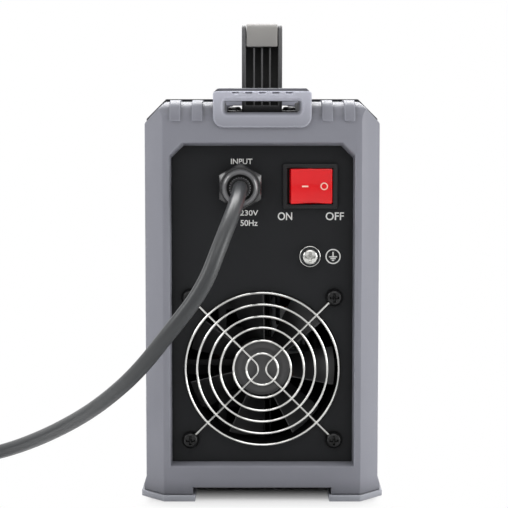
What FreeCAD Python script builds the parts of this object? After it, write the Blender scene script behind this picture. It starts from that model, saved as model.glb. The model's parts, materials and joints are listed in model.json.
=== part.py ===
"""Compact inverter MIG welding machine, as a parametric FreeCAD document.

Frame: origin on the floor under the middle of the case, +X to the right seen from the rear,
+Y towards the front panel and +Z up. Lengths are millimetres, angles degrees.
"""

import FreeCAD, Part
import math
import os
import re

import Sketcher

SIZES = {
    # Case
    "body_length": 300.0,
    "body_width": 134.5,
    "bezel_height": 228.7,
    "belly_height": 7.65,
    "sheet": 1.2,
    "fit_gap": 0.3,
    "cover_rise": 1.8,
    "corner_chamfer": 12.1,
    "cover_bend": 11.4,
    # Moulded end bezels
    "bezel_depth": 30.0,
    "spigot_depth": 8.0,
    "spigot_wall": 5.0,
    "bevel_width": 10.8,
    "bevel_depth": 12.0,
    "roll_radius": 11.1,
    "leg_width": 27.55,
    "leg_flare": 1.45,
    "flare_low": 7.0,
    "flare_high": 12.0,
    "pad_height": 3.6,
    "pad_margin": 1.3,
    "recess_depth": 6.0,
    "recess_side": 14.65,
    "recess_low": 20.2,
    "recess_lintel": 22.9,
    "recess_corner": 7.2,
    "recess_draft": 2.1,
    "recess_side_draft": 1.0,
    "panel_lap": 5.4,
    "panel_thickness": 2.0,
    "rib_width": 6.2,
    "rib_edge": 14.85,
    "rib_pitch": 12.6,
    "rib_proud": 1.0,
    # Strap loops and the channel along the top
    "loop_half": 27.8,
    "loop_rise": 7.7,
    "loop_chamfer": 2.7,
    "loop_drop": 14.5,
    "loop_corner": 6.0,
    "loop_proud": 1.5,
    "loop_depth": 15.5,
    "loop_lip": 1.9,
    "loop_bar": 5.5,
    "loop_hole_half": 21.0,
    "loop_hole_height": 6.2,
    "loop_hole_corner": 1.4,
    "loop_hole_bevel": 2.1,
    "loop_slot_width": 4.0,
    "loop_slot_height": 0.8,
    "loop_slot_pitch": 7.6,
    "trough_half": 25.0,
    "trough_depth": 7.7,
    # Carrying handle
    "handle_width": 23.6,
    "handle_rim": 2.4,
    "handle_inset": 2.0,
    "handle_lean": 7.0,
    "handle_leg": 24.0,
    "handle_height": 52.6,
    "handle_bar": 18.6,
    "grip_height": 12.6,
    "grip_crown": 0.8,
    "nose_radius": 5.0,
    "leg_channel": 8.0,
    "leg_rib": 1.3,
    "leg_rib_pitch": 4.7,
    "flange_half": 20.5,
    "flange_thickness": 3.0,
    "handle_screw_x": 16.2,
    # Side door
    "door_low": 10.4,
    "door_drop": 17.3,
    "door_clearance": 0.6,
    "door_flange": 5.0,
    "hinge_proud": 1.35,
    "hinge_inset": 5.1,
    "knuckle_radius": 2.4,
    "hinge_pin_radius": 1.5,
    "hinge_length": 30.0,
    "hinge_middle": 12.0,
    "hinge_low": 50.0,
    "hinge_margin": 6.4,
    "latch_z": 110.0,
    "latch_inset": 14.0,
    "latch_head_radius": 11.0,
    "latch_stem_radius": 4.0,
    "latch_reach": 20.0,
    "latch_inside": 9.3,
    "latch_cam_width": 8.0,
    "run_gap": 0.05,
    # Divider and vents
    "bay_width": 62.85,
    "vent_length": 46.0,
    "vent_height": 4.0,
    "vent_pitch": 11.0,
    # Cooling fan and its guard
    "fan_z": 76.0,
    "fan_side": 92.0,
    "fan_depth": 25.0,
    "fan_bore": 44.6,
    "fan_hole_spacing": 82.5,
    "fan_screw_radius": 1.8,
    "fan_hub_radius": 16.0,
    "fan_tip_gap": 1.4,
    "blade_thickness": 1.0,
    "blade_root_sweep": 4.5,
    "blade_tip_sweep": 10.0,
    "blade_root_margin": 1.0,
    "blade_tip_margin": 3.0,
    "fan_shaft_radius": 1.5,
    "dimple_radius": 5.2,
    "dimple_depth": 0.8,
    "guard_wire": 0.75,
    "guard_eyelet_wire": 0.82,
    "guard_lift": 0.1,
    "guard_inmost": 9.1,
    "guard_second": 16.5,
    "guard_third": 24.0,
    "guard_fourth": 30.4,
    "guard_fifth": 37.3,
    "guard_outer": 44.0,
    "guard_apex": 5.5,
    "guard_eyelet": 3.0,
    "fan_head_radius": 4.3,
    "screw_head_radius": 3.9,
    "screw_head_height": 2.3,
    # Mains gland
    "gland_x": -12.5,
    "gland_drop": 25.4,
    "gland_flats": 24.0,
    "gland_flange": 5.0,
    "gland_shank": 10.0,
    "gland_bore": 6.5,
    "gland_dome_radius": 10.4,
    "gland_reach": 14.5,
    "gland_mouth": 7.4,
    "gland_seal": 5.8,
    "cord_radius": 4.2,
    # Mains rocker switch
    "switch_x": 27.3,
    "switch_drop": 24.9,
    "switch_width": 31.2,
    "switch_height": 25.4,
    "switch_rim": 2.0,
    "switch_body_depth": 20.0,
    "blade_length": 8.0,
    "blade_spread": 6.0,
    "rocker_width": 25.2,
    "rocker_height": 20.0,
    "rocker_angle": 9.0,
    "rocker_pivot_depth": 1.0,
    "rocker_rise": 3.2,
    "rocker_depth": 7.0,
    # Earth stud
    "earth_head_radius": 4.5,
    "earth_washer_radius": 6.05,
    "earth_shank_radius": 2.5,
    # Front panel
    "display_width": 66.0,
    "display_height": 25.0,
    "display_proud": 1.2,
    "knob_x": 26.0,
    "knob_radius": 13.0,
    "knob_height": 15.0,
    "knob_shaft_radius": 3.0,
    "knob_run_gap": 0.08,
    "knob_flute": 1.9,
    "button_radius": 5.0,
    "button_proud": 2.6,
    "wire_offset": 22.6,
    "wire_z": 75.0,
    "torch_flange": 43.0,
    "torch_screw_spacing": 34.0,
    "torch_body_radius": 15.0,
    "torch_bore": 5.0,
    "torch_reach": 19.0,
    "output_x": -27.0,
    "output_rim_radius": 17.0,
    "output_hole_radius": 13.0,
    "output_mouth_radius": 11.0,
    "output_contact_radius": 7.5,
    "output_bore": 4.6,
    "output_reach": 16.0,
    "output_inside": 26.0,
    # Wire spool
    "spool_rear_room": 48.0,
    "spool_z": 140.0,
    "spool_front_room": 152.0,
    "spool_width": 45.0,
    "spool_bore": 8.0,
    "spool_flange": 2.0,
    "hub_flange_radius": 20.0,
    "hub_flange": 3.3,
    "retainer_radius": 15.0,
    "retainer_height": 7.0,
    # Wire feeder
    "plate_thickness": 12.4,
    "plate_low": 46.0,
    "plate_high": 100.0,
    "plate_length": 68.0,
    "plate_setback": 44.0,
    "drive_radius": 12.5,
    "drive_width": 10.0,
    "drive_shaft_radius": 4.0,
    "pinch_radius": 9.5,
    "pinch_width": 7.0,
    "pinch_gap": 0.7,
    "pinch_pin_radius": 3.0,
    "arm_pivot_inset": 13.0,
    "arm_pivot_z": 94.0,
    "arm_pin_radius": 3.0,
    "arm_thickness": 4.0,
    "arm_tail_inset": 6.0,
    "arm_lift": 7.0,
    "stud_offset": 11.0,
    "stud_inset": 12.0,
    "stud_z": 57.0,
    "stud_radius": 2.5,
    "stud_angle": 40.0,
    "stud_eye_radius": 5.5,
    "spring_length": 12.0,
    "tension_knob_radius": 8.0,
    "tension_knob_height": 15.0,
    "guide_radius": 4.0,
    "guide_bore": 1.2,
    "guide_block_half": 6.4,
    "guide_block_length": 10.0,
    "motor_radius": 17.0,
    "motor_length": 52.0,
    # Power electronics
    "power_margin": 10.95,
    "sink_gap": 4.0,
    "sink_room": 196.0,
    "sink_height": 112.0,
    "sink_base": 5.0,
    "board_thickness": 1.6,
    "board_room": 135.0,
    "capacitor_radius": 12.5,
    "capacitor_height": 46.0,
    "capacitor_pitch": 34.0,
    "core_length": 46.0,
    "core_height": 34.0,
    "choke_bore": 9.0,
    "choke_height": 24.0,
    # Mains plug
    "plug_radius": 18.0,
    "plug_neck": 7.5,
    "plug_length": 52.0,
    "plug_pin_radius": 2.4,
    "plug_pin_length": 19.0,
    "plug_pin_spacing": 19.0,
    # Put-away coil of the mains cord
    "coil_x": -256.0,
    "coil_y": -18.0,
    "coil_pitch": 10.2,
    "coil_outer": 57.5,
    "coil_layer": 9.2,
    "coil_inset": 1.5,
}

# Heights on the panels as shares of the recess or of the space beside it
EARTH_SHARE = 0.405
DISPLAY_SHARE = 0.861
BUTTON_SHARE = 0.745
KNOB_SHARE = 0.651
OUTPUT_SHARE = 0.15
OUTPUT_SPACING_SHARE = 0.291

# Radii as shares of the spool
WOUND_SHARE = 0.8
CORE_SHARE = 0.44

# Counts of repeated forms
LOOP_SLOTS = 5
VENT_ROWS = 6
BLADES = 7
KNOB_FLUTES = 10
TENSION_FLUTES = 8
RETAINER_NOTCHES = 6
SPOOL_WINDOWS = 5
SINK_SLOTS = 5
CAPACITORS = 4

# Places that follow from the sizes, worked out in the spreadsheet
PLACES = {
    "vent_round": "vent_height / 2.1",
    "recess_half": "body_width / 2 - recess_side",
    "recess_high": "bezel_height - recess_lintel",
    "recess_height": "recess_high - recess_low",
    "leg_inner": "body_width / 2 - leg_width",
    "rib_inner": "body_width / 2 - rib_edge - rib_pitch - rib_width",
    "loop_top": "bezel_height + loop_rise",
    "loop_low": "bezel_height - loop_drop",
    "loop_hole_high": "bezel_height + fit_gap",
    "loop_hole_low": "loop_hole_high - loop_hole_height",
    "trough_floor": "bezel_height - trough_depth",
    "handle_reach": "body_length / 2 - bezel_depth - spigot_depth - handle_inset + handle_lean",
    "handle_top": "trough_floor + handle_height",
    "handle_bar_low": "handle_top - handle_bar",
    "grip_low": "handle_top - grip_height",
    "door_high": "bezel_height - door_drop",
    "hinge_x": "body_width / 2 + hinge_proud",
    "hinge_spacing": "door_high - hinge_margin - hinge_length - hinge_low",
    "divider_x": "body_width / 2 - bay_width",
    "gland_z": "recess_high - gland_drop",
    "switch_z": "recess_high - switch_drop",
    "fan_top": "fan_z + fan_side / 2",
    "earth_z": f"fan_top + {EARTH_SHARE} * (switch_z - switch_height / 2 - fan_top)",
    "display_z": f"recess_low + {DISPLAY_SHARE} * recess_height",
    "button_z": f"recess_low + {BUTTON_SHARE} * recess_height",
    "knob_z": f"recess_low + {KNOB_SHARE} * recess_height",
    "output_low": f"recess_low + {OUTPUT_SHARE} * recess_height",
    "output_spacing": f"{OUTPUT_SPACING_SHARE} * recess_height",
    "wire_x": "divider_x + wire_offset",
    "stud_x": "wire_x + stud_offset",
    "plate_front": "body_length / 2 - plate_setback",
    "plate_rear": "plate_front - plate_length",
    "roll_y": "plate_front - plate_length / 2",
    "arm_pivot_y": "plate_front - arm_pivot_inset",
    "arm_tail_y": "plate_rear + arm_tail_inset",
    "stud_y": "plate_rear + stud_inset",
    "spring_low": "arm_pivot_z + arm_lift - stud_z + sheet",
    "spring_high": "spring_low + spring_length",
    "stud_length": "spring_high + tension_knob_height - 3 * sheet",
    "spool_radius": "(body_length - spool_rear_room - spool_front_room) / 2",
    "spool_y": "-body_length / 2 + spool_rear_room + spool_radius",
    "wound_radius": f"{WOUND_SHARE} * spool_radius",
    "spool_core": f"{CORE_SHARE} * spool_radius",
    "sink_length": "body_length - sink_room",
    "board_length": "body_length - board_room",
    "power_left": "-body_width / 2 + power_margin",
    "power_right": "divider_x - sink_gap",
    "sink_width": "(power_right - power_left - sink_gap) / 2",
    "power_middle": "(power_left + power_right) / 2",
    "choke_radius": "sink_width - sheet",
}

doc = FreeCAD.newDocument("MigWelder")
sheet = doc.addObject("Spreadsheet::Sheet", "Sizes")
cell_values = {**SIZES, **{name: "=" + formula for name, formula in PLACES.items()}}
for row, (name, value) in enumerate(cell_values.items(), start=1):
    sheet.set(f"A{row}", name)
    sheet.set(f"B{row}", str(value))
    sheet.setAlias(f"B{row}", name)
doc.recompute()

# Formulas that several pieces share
HALF = "(body_width / 2)"
REAR = "(-body_length / 2)"
FRONT = "(body_length / 2)"
REAR_PANEL = f"({REAR} + recess_depth)"
REAR_PANEL_BACK = f"({REAR_PANEL} + panel_thickness)"
FRONT_PANEL = f"({FRONT} - recess_depth)"
FRONT_PANEL_BACK = f"({FRONT_PANEL} - panel_thickness)"
BEZEL_END = f"({REAR} + bezel_depth)"
SPIGOT_END = f"({BEZEL_END} + spigot_depth)"
COVER_TOP = "(bezel_height + cover_rise)"
COVER_END = f"({FRONT} - bezel_depth - fit_gap)"
MITRE = "(sqrt(2) - 1)"
TRAY_TOP = "(belly_height + sheet)"
DIVIDER_FACE = "(divider_x + sheet)"
PLATE_FACE = f"({DIVIDER_FACE} + plate_thickness)"
FLANGE_TOP = "(trough_floor + flange_thickness)"
HINGE_Y = f"({FRONT} - bezel_depth - hinge_inset)"
DRIVE_Z = "(wire_z - drive_radius - pinch_gap / 2)"
PINCH_Z = "(wire_z + pinch_radius + pinch_gap / 2)"
SPOOL_X = f"({DIVIDER_FACE} + hub_flange + fit_gap)"
SINK_TOP = f"({TRAY_TOP} + sink_height)"
FACE_HALF = f"({HALF} - bevel_width)"
HANDLE_SCREW_Y = "(-handle_reach + handle_lean + handle_leg / 2)"

X_AXIS = FreeCAD.Vector(1, 0, 0)
Y_AXIS = FreeCAD.Vector(0, 1, 0)
Z_AXIS = FreeCAD.Vector(0, 0, 1)
TO_REAR = FreeCAD.Rotation(X_AXIS, 90)
TO_FRONT = FreeCAD.Rotation(X_AXIS, -90)
TO_RIGHT = FreeCAD.Rotation(Y_AXIS, 90)
TO_LEFT = FreeCAD.Rotation(Y_AXIS, -90)
HALF_TURN = FreeCAD.Rotation(Z_AXIS, 180)
UPRIGHT = FreeCAD.Rotation()

subparts = []


def cells(formula):
    """Turn a formula of size names into one that refers to the spreadsheet."""
    return re.sub(r"[a-z_]+", lambda word: "Sizes." * (word.group() in cell_values) + word.group(), formula)


def size(formula):
    """Value of a formula of size names."""
    return float(sheet.evalExpression(cells(formula)))


def circle(x, y, radius):
    return ("circle", (x, y, radius))


def polygon(*corners):
    """Closed outline: each corner is (x, y) or (x, y, radius), where a radius rounds it."""
    return ("polygon", corners)


def rectangle(left, right, low, high, *radius):
    return polygon((left, low, *radius), (right, low, *radius), (right, high, *radius), (left, high, *radius))


def pin_down(sketch, geometry, end, x, y):
    """Hold a point of a sketch at formulas of the sizes."""
    for axis, formula in (("X", x), ("Y", y)):
        distance = Sketcher.Constraint("Distance" + axis, -1, 1, geometry, end, size(formula))
        limit = sketch.addConstraint(distance)
        sketch.setExpression(f"Constraints[{limit}]", cells(formula))


def draw_circle(sketch, x, y, radius):
    centre = FreeCAD.Vector(size(x), size(y), 0)
    ring = sketch.addGeometry(Part.Circle(centre, Z_AXIS, size(radius)))
    pin_down(sketch, ring, 3, x, y)
    limit = sketch.addConstraint(Sketcher.Constraint("Radius", ring, size(radius)))
    sketch.setExpression(f"Constraints[{limit}]", cells(radius))


def draw_polygon(sketch, corners):
    """Draw a polygon whose rounded corners are arcs tangent to both sides."""
    points = [FreeCAD.Vector(size(corner[0]), size(corner[1]), 0) for corner in corners]
    radii = [size(corner[2]) if len(corner) > 2 else 0.0 for corner in corners]
    count = len(corners)
    sides = []
    for index in range(count):
        before = (points[index - 1] - points[index]).normalize()
        after = (points[(index + 1) % count] - points[index]).normalize()
        half = before.getAngle(after) / 2
        trim = radii[index] / math.tan(half) if radii[index] else 0.0
        sides.append((points[index] + before * trim, points[index] + after * trim, before, after, half))
    lines = []
    for index in range(count):
        lines.append(sketch.addGeometry(Part.LineSegment(sides[index][1], sides[(index + 1) % count][0])))
    for index, (enter, leave, before, after, half) in enumerate(sides):
        last, following = lines[index - 1], lines[index]
        if not radii[index]:
            sketch.addConstraint(Sketcher.Constraint("Coincident", last, 2, following, 1))
            pin_down(sketch, following, 1, corners[index][0], corners[index][1])
            continue
        centre = points[index] + (before + after).normalize() * (radii[index] / math.sin(half))
        turns_left = before.cross(after).z < 0
        start, end = (enter, leave) if turns_left else (leave, enter)
        start_angle = math.atan2(start.y - centre.y, start.x - centre.x)
        end_angle = math.atan2(end.y - centre.y, end.x - centre.x)
        ring = Part.Circle(centre, Z_AXIS, radii[index])
        arc = sketch.addGeometry(Part.ArcOfCircle(ring, start_angle, end_angle))
        corner = sketch.addGeometry(Part.Point(points[index]), True)
        pin_down(sketch, corner, 1, corners[index][0], corners[index][1])
        sketch.addConstraint(Sketcher.Constraint("PointOnObject", corner, 1, last))
        sketch.addConstraint(Sketcher.Constraint("PointOnObject", corner, 1, following))
        first, second = (1, 2) if turns_left else (2, 1)
        sketch.addConstraint(Sketcher.Constraint("Tangent", last, 2, arc, first))
        sketch.addConstraint(Sketcher.Constraint("Tangent", arc, second, following, 1))
        limit = sketch.addConstraint(Sketcher.Constraint("Radius", arc, radii[index]))
        sketch.setExpression(f"Constraints[{limit}]", cells(corners[index][2]))


def draw(sketch, outlines):
    for kind, data in outlines:
        if kind == "circle":
            draw_circle(sketch, *data)
        else:
            draw_polygon(sketch, data)


def place(piece, x="0", y="0", z="0", rotation=UPRIGHT):
    """Put an object at formulas of the sizes, turned by a rotation."""
    piece.Placement = FreeCAD.Placement(FreeCAD.Vector(), rotation)
    for axis, formula in (("x", x), ("y", y), ("z", z)):
        piece.setExpression(f"Placement.Base.{axis}", cells(formula))


class Piece:
    """One sub-part made as a PartDesign body, whose Label names its STEP file."""

    def __init__(self, label, x="0", y="0", z="0", rotation=UPRIGHT):
        self.label = label
        self.body = doc.addObject("PartDesign::Body", label)
        self.body.Label = label
        self.count = 0
        place(self.body, x, y, z, rotation)
        subparts.append(self.body)

    def origin(self, role):
        return next(item for item in self.body.Origin.OriginFeatures if item.Role == role)

    def feature(self, kind):
        self.count += 1
        return self.body.newObject("PartDesign::" + kind, f"{self.label}_{kind}_{self.count}")

    def sketch(self, plane, offset, outlines):
        """Sketch on one of the body's own origin planes, moved along the axis square to it."""
        self.count += 1
        sketch = self.body.newObject("Sketcher::SketchObject", f"{self.label}_sketch_{self.count}")
        sketch.AttachmentSupport = [(self.origin(plane), "")]
        sketch.MapMode = "FlatFace"
        sign = "-" if plane == "XZ_Plane" else ""
        sketch.setExpression("AttachmentOffset.Base.z", cells(f"{sign}({offset})"))
        draw(sketch, outlines)
        return sketch

    def pad(self, plane, low, high, *outlines):
        pad = self.sketched("Pad", plane, low, high, outlines)
        pad.Reversed = plane == "XZ_Plane"
        return pad

    def pocket(self, plane, low, high, *outlines):
        pocket = self.sketched("Pocket", plane, low, high, outlines)
        pocket.Reversed = plane != "XZ_Plane"
        return pocket

    def sketched(self, kind, plane, low, high, outlines):
        sketch = self.sketch(plane, low, outlines)
        feature = self.feature(kind)
        feature.Profile = sketch
        feature.setExpression("Length", cells(f"({high}) - ({low})"))
        return feature

    def revolve(self, *outlines):
        """Turn outlines of (distance from the axis, height) about the body's own Z axis."""
        return self.turned("Revolution", outlines)

    def groove(self, *outlines):
        return self.turned("Groove", outlines)

    def turned(self, kind, outlines):
        sketch = self.sketch("XZ_Plane", "0", outlines)
        feature = self.feature(kind)
        feature.Profile = sketch
        feature.ReferenceAxis = (sketch, ["V_Axis"])
        feature.Angle = 360
        return feature

    def loft(self, kind, *sections):
        sketches = [self.sketch(plane, offset, [outline]) for plane, offset, outline in sections]
        feature = self.feature(kind)
        feature.Profile = sketches[0]
        feature.Sections = sketches[1:]
        feature.Ruled = True
        return feature

    def grid(self, features, first, first_length, first_count, second=None, second_length="0", second_count=1):
        """Repeat features along one or two axes, each over a whole length."""
        doc.recompute()
        pattern = self.feature("LinearPattern")
        pattern.Originals = features
        pattern.Direction = (self.origin(first), [""])
        pattern.setExpression("Length", cells(first_length))
        pattern.Occurrences = first_count
        if second:
            pattern.Direction2 = (self.origin(second), [""])
            pattern.setExpression("Length2", cells(second_length))
            pattern.Occurrences2 = second_count
        self.body.Tip = pattern
        return pattern

    def polar(self, features, axis, count):
        doc.recompute()
        pattern = self.feature("PolarPattern")
        pattern.Originals = features
        pattern.Axis = (self.origin(axis), [""])
        pattern.Angle = 360
        pattern.Occurrences = count
        self.body.Tip = pattern
        return pattern

    def mirror(self, features, plane):
        doc.recompute()
        mirrored = self.feature("Mirrored")
        mirrored.Originals = features
        mirrored.MirrorPlane = (self.origin(plane), [""])
        self.body.Tip = mirrored
        return mirrored

    def dress(self, kind, amount, chosen):
        """Fillet or chamfer the edges of the last feature that a test chooses."""
        doc.recompute()
        base = self.body.Tip
        names = [f"Edge{number}" for number, edge in enumerate(base.Shape.Edges, start=1) if chosen(edge)]
        feature = self.feature(kind)
        feature.Base = (base, names)
        feature.setExpression("Radius" if kind == "Fillet" else "Size", cells(amount))
        return feature


def near(value, formula):
    return abs(value - size(formula)) < 0.01


def runs_along(edge, axis):
    """Whether a straight edge runs along an axis."""
    return edge.Curve.TypeId == "Part::GeomLine" and abs(abs(edge.Curve.Direction.dot(axis)) - 1) < 1e-6


def mirrored_outline(right_half):
    """Close an outline over the YZ plane from its right half, listed upwards."""
    left_half = [("-(" + corner[0] + ")", *corner[1:]) for corner in reversed(right_half)]
    return polygon(*right_half, *left_half)


def bezel(label, rotation):
    """Moulded end frame: bevelled sides, rolled ribbed top, two legs and a strap loop."""
    piece = Piece(label, rotation=rotation)
    shoulder = "(bezel_height - corner_chamfer)"
    leg_half = f"({HALF} + leg_flare)"
    piece.pad("XZ_Plane", REAR, BEZEL_END, mirrored_outline([
        ("leg_inner", "belly_height"),
        ("leg_inner", "pad_height"),
        (leg_half, "pad_height"),
        (leg_half, "flare_low"),
        (HALF, "flare_high"),
        (HALF, shoulder),
        (f"{HALF} - corner_chamfer", "bezel_height"),
    ]))
    piece.dress("Fillet", "roll_radius", lambda edge: (
        runs_along(edge, X_AXIS) and near(edge.BoundBox.YMin, REAR)
        and near(edge.BoundBox.ZMin, "bezel_height")))
    inset = "(sheet + fit_gap)"
    top = f"({COVER_TOP} - sheet - fit_gap)"
    slope = f"({HALF} - cover_bend - {MITRE} * {inset})"
    piece.pad("XZ_Plane", BEZEL_END, SPIGOT_END, mirrored_outline([
        (f"{HALF} - {inset}", f"{TRAY_TOP} + fit_gap"),
        (f"{HALF} - {inset}", f"{COVER_TOP} - cover_bend - {MITRE} * {inset}"),
        (slope, top),
        (f"trough_half + {inset}", top),
        (f"trough_half + {inset}", f"trough_floor - {inset}"),
    ]))
    reach = 2
    side = piece.pocket("XY_Plane", "0", "bezel_height + cover_rise", polygon(
        (FACE_HALF, REAR),
        (f"{FACE_HALF} + {reach} * bevel_width", f"{REAR} + {reach} * bevel_depth"),
        (f"{FACE_HALF} + {reach} * bevel_width", REAR),
    ))
    piece.mirror([side], "YZ_Plane")
    rib_top = "(bezel_height + rib_proud)"
    ribs = []
    for inner in ("rib_inner", "rib_inner + rib_pitch"):
        ribs.append(piece.pad("YZ_Plane", inner, f"{inner} + rib_width", polygon(
            (f"{REAR} - rib_proud", "bezel_height - roll_radius"),
            (f"{REAR} - rib_proud", rib_top, "roll_radius"),
            (BEZEL_END, rib_top),
            (BEZEL_END, "bezel_height - roll_radius"),
        )))
    piece.mirror(ribs, "YZ_Plane")
    loop_back = f"({REAR} + loop_depth - loop_proud)"
    piece.pocket("XZ_Plane", loop_back, BEZEL_END, rectangle(
        "-trough_half", "trough_half", "trough_floor", f"{COVER_TOP} + loop_top"))
    piece.pad("XZ_Plane", f"{REAR} - loop_proud", loop_back, mirrored_outline([
        ("loop_half", "loop_low", "loop_corner"),
        ("loop_half", "loop_top - loop_chamfer"),
        ("loop_half - loop_chamfer", "loop_top"),
    ]))
    piece.pocket("YZ_Plane", "-loop_half", "loop_half", polygon(
        (f"{REAR} - 2 * loop_proud", "loop_top - loop_lip"),
        (f"{REAR} - loop_proud + loop_bar", "loop_top - loop_lip"),
        (f"{REAR} - loop_proud + loop_bar", "loop_top + loop_lip"),
        (f"{REAR} - 2 * loop_proud", "loop_top + loop_lip"),
    ))
    piece.pocket("XZ_Plane", f"{REAR} - 2 * loop_proud", loop_back, rectangle(
        "-loop_hole_half", "loop_hole_half", "loop_hole_low", "loop_hole_high", "loop_hole_corner"))
    piece.dress("Chamfer", "loop_hole_bevel", lambda edge: (
        near(edge.BoundBox.YMin, f"{REAR} - loop_proud") and near(edge.BoundBox.YMax, f"{REAR} - loop_proud")
        and max(edge.BoundBox.XMax, -edge.BoundBox.XMin) < size("loop_hole_half + run_gap")
        and edge.BoundBox.ZMin > size("loop_hole_low - run_gap")
        and edge.BoundBox.ZMax < size("loop_hole_high + run_gap")))
    slot_low = "(loop_top - loop_lip - 1.5 * loop_slot_height)"
    first_slot = f"(-{LOOP_SLOTS - 1} * loop_slot_pitch / 2)"
    slot = piece.pocket("XZ_Plane", f"{REAR} - 2 * loop_proud", f"{REAR} + loop_proud", rectangle(
        f"{first_slot} - loop_slot_width / 2", f"{first_slot} + loop_slot_width / 2",
        slot_low, f"{slot_low} + loop_slot_height"))
    piece.grid([slot], "X_Axis", f"{LOOP_SLOTS - 1} * loop_slot_pitch", LOOP_SLOTS)
    recess = []
    for draft, side_draft in (("0", "0"), ("recess_draft", "recess_side_draft")):
        half = f"(recess_half - {side_draft})"
        recess.append(mirrored_outline([
            (half, f"recess_low + {draft}"),
            (half, f"recess_high - recess_corner - {draft}"),
            (f"{half} - recess_corner", f"recess_high - {draft}"),
        ]))
    piece.loft("SubtractiveLoft", ("XZ_Plane", REAR, recess[0]), ("XZ_Plane", REAR_PANEL, recess[1]))
    piece.pocket("XZ_Plane", REAR_PANEL, SPIGOT_END, rectangle(
        "-recess_half - panel_lap - fit_gap", "recess_half + panel_lap + fit_gap",
        "recess_low - panel_lap - fit_gap", "recess_high + panel_lap + fit_gap"))


def panel(label, low, high):
    """Flat end panel that laps the bezel's inner rim."""
    piece = Piece(label)
    piece.pad("XZ_Plane", low, high, rectangle(
        "-recess_half - panel_lap", "recess_half + panel_lap",
        "recess_low - panel_lap", "recess_high + panel_lap"))
    return piece


def rear_panel():
    piece = panel("rear_panel", REAR_PANEL, REAR_PANEL_BACK)
    piece.pocket("XZ_Plane", REAR_PANEL, REAR_PANEL_BACK, circle("0", "fan_z", "fan_bore + dimple_depth"))
    piece.pocket("XZ_Plane", REAR_PANEL, REAR_PANEL_BACK, circle(
        "gland_x", "gland_z", "gland_shank + fit_gap"))
    piece.pad("XZ_Plane", REAR_PANEL_BACK, f"{REAR_PANEL_BACK} + earth_head_radius", circle(
        "switch_x", "earth_z", "earth_head_radius"))
    piece.pocket("XZ_Plane", REAR_PANEL, f"{REAR_PANEL_BACK} + earth_head_radius", circle(
        "switch_x", "earth_z", "earth_shank_radius + run_gap"))
    half_x = "(rocker_width / 2 + switch_rim / 2 + fit_gap)"
    half_z = "(rocker_height / 2 + switch_rim / 2 + fit_gap)"
    piece.pocket("XZ_Plane", REAR_PANEL, REAR_PANEL_BACK, rectangle(
        f"switch_x - {half_x}", f"switch_x + {half_x}", f"switch_z - {half_z}", f"switch_z + {half_z}"))
    corner = "-fan_hole_spacing / 2"
    low_corner = "fan_z - fan_hole_spacing / 2"
    dimple = piece.pocket("XZ_Plane", REAR_PANEL, f"{REAR_PANEL} + dimple_depth", circle(
        corner, low_corner, "dimple_radius"))
    hole = piece.pocket("XZ_Plane", REAR_PANEL, REAR_PANEL_BACK, circle(
        corner, low_corner, "fan_screw_radius + fit_gap"))
    piece.grid([dimple, hole], "X_Axis", "fan_hole_spacing", 2, "Z_Axis", "fan_hole_spacing", 2)


def front_panel():
    piece = panel("front_panel", FRONT_PANEL_BACK, FRONT_PANEL)
    piece.pocket("XZ_Plane", FRONT_PANEL_BACK, FRONT_PANEL, circle("0", "button_z", "button_radius + run_gap"))
    piece.pocket("XZ_Plane", FRONT_PANEL_BACK, FRONT_PANEL, circle(
        "wire_x", "wire_z", "torch_body_radius + fit_gap"))
    knob_hole = piece.pocket("XZ_Plane", FRONT_PANEL_BACK, FRONT_PANEL, circle(
        "-knob_x", "knob_z", "knob_shaft_radius + fit_gap"))
    piece.grid([knob_hole], "X_Axis", "2 * knob_x", 2)
    output_hole = piece.pocket("XZ_Plane", FRONT_PANEL_BACK, FRONT_PANEL, circle(
        "output_x", "output_low", "output_hole_radius + fit_gap"))
    piece.grid([output_hole], "Z_Axis", "output_spacing", 2)
    piece.pocket("XZ_Plane", FRONT_PANEL_BACK, FRONT_PANEL, rectangle(
        "-display_width / 2 + panel_thickness", "display_width / 2 - panel_thickness",
        "display_z - display_height / 2 + panel_thickness",
        "display_z + display_height / 2 - panel_thickness"))
    screw = piece.pocket("XZ_Plane", FRONT_PANEL_BACK, FRONT_PANEL, circle(
        "wire_x - torch_screw_spacing / 2", "wire_z - torch_screw_spacing / 2", "fan_screw_radius + fit_gap"))
    piece.grid([screw], "X_Axis", "torch_screw_spacing", 2, "Z_Axis", "torch_screw_spacing", 2)


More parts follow.
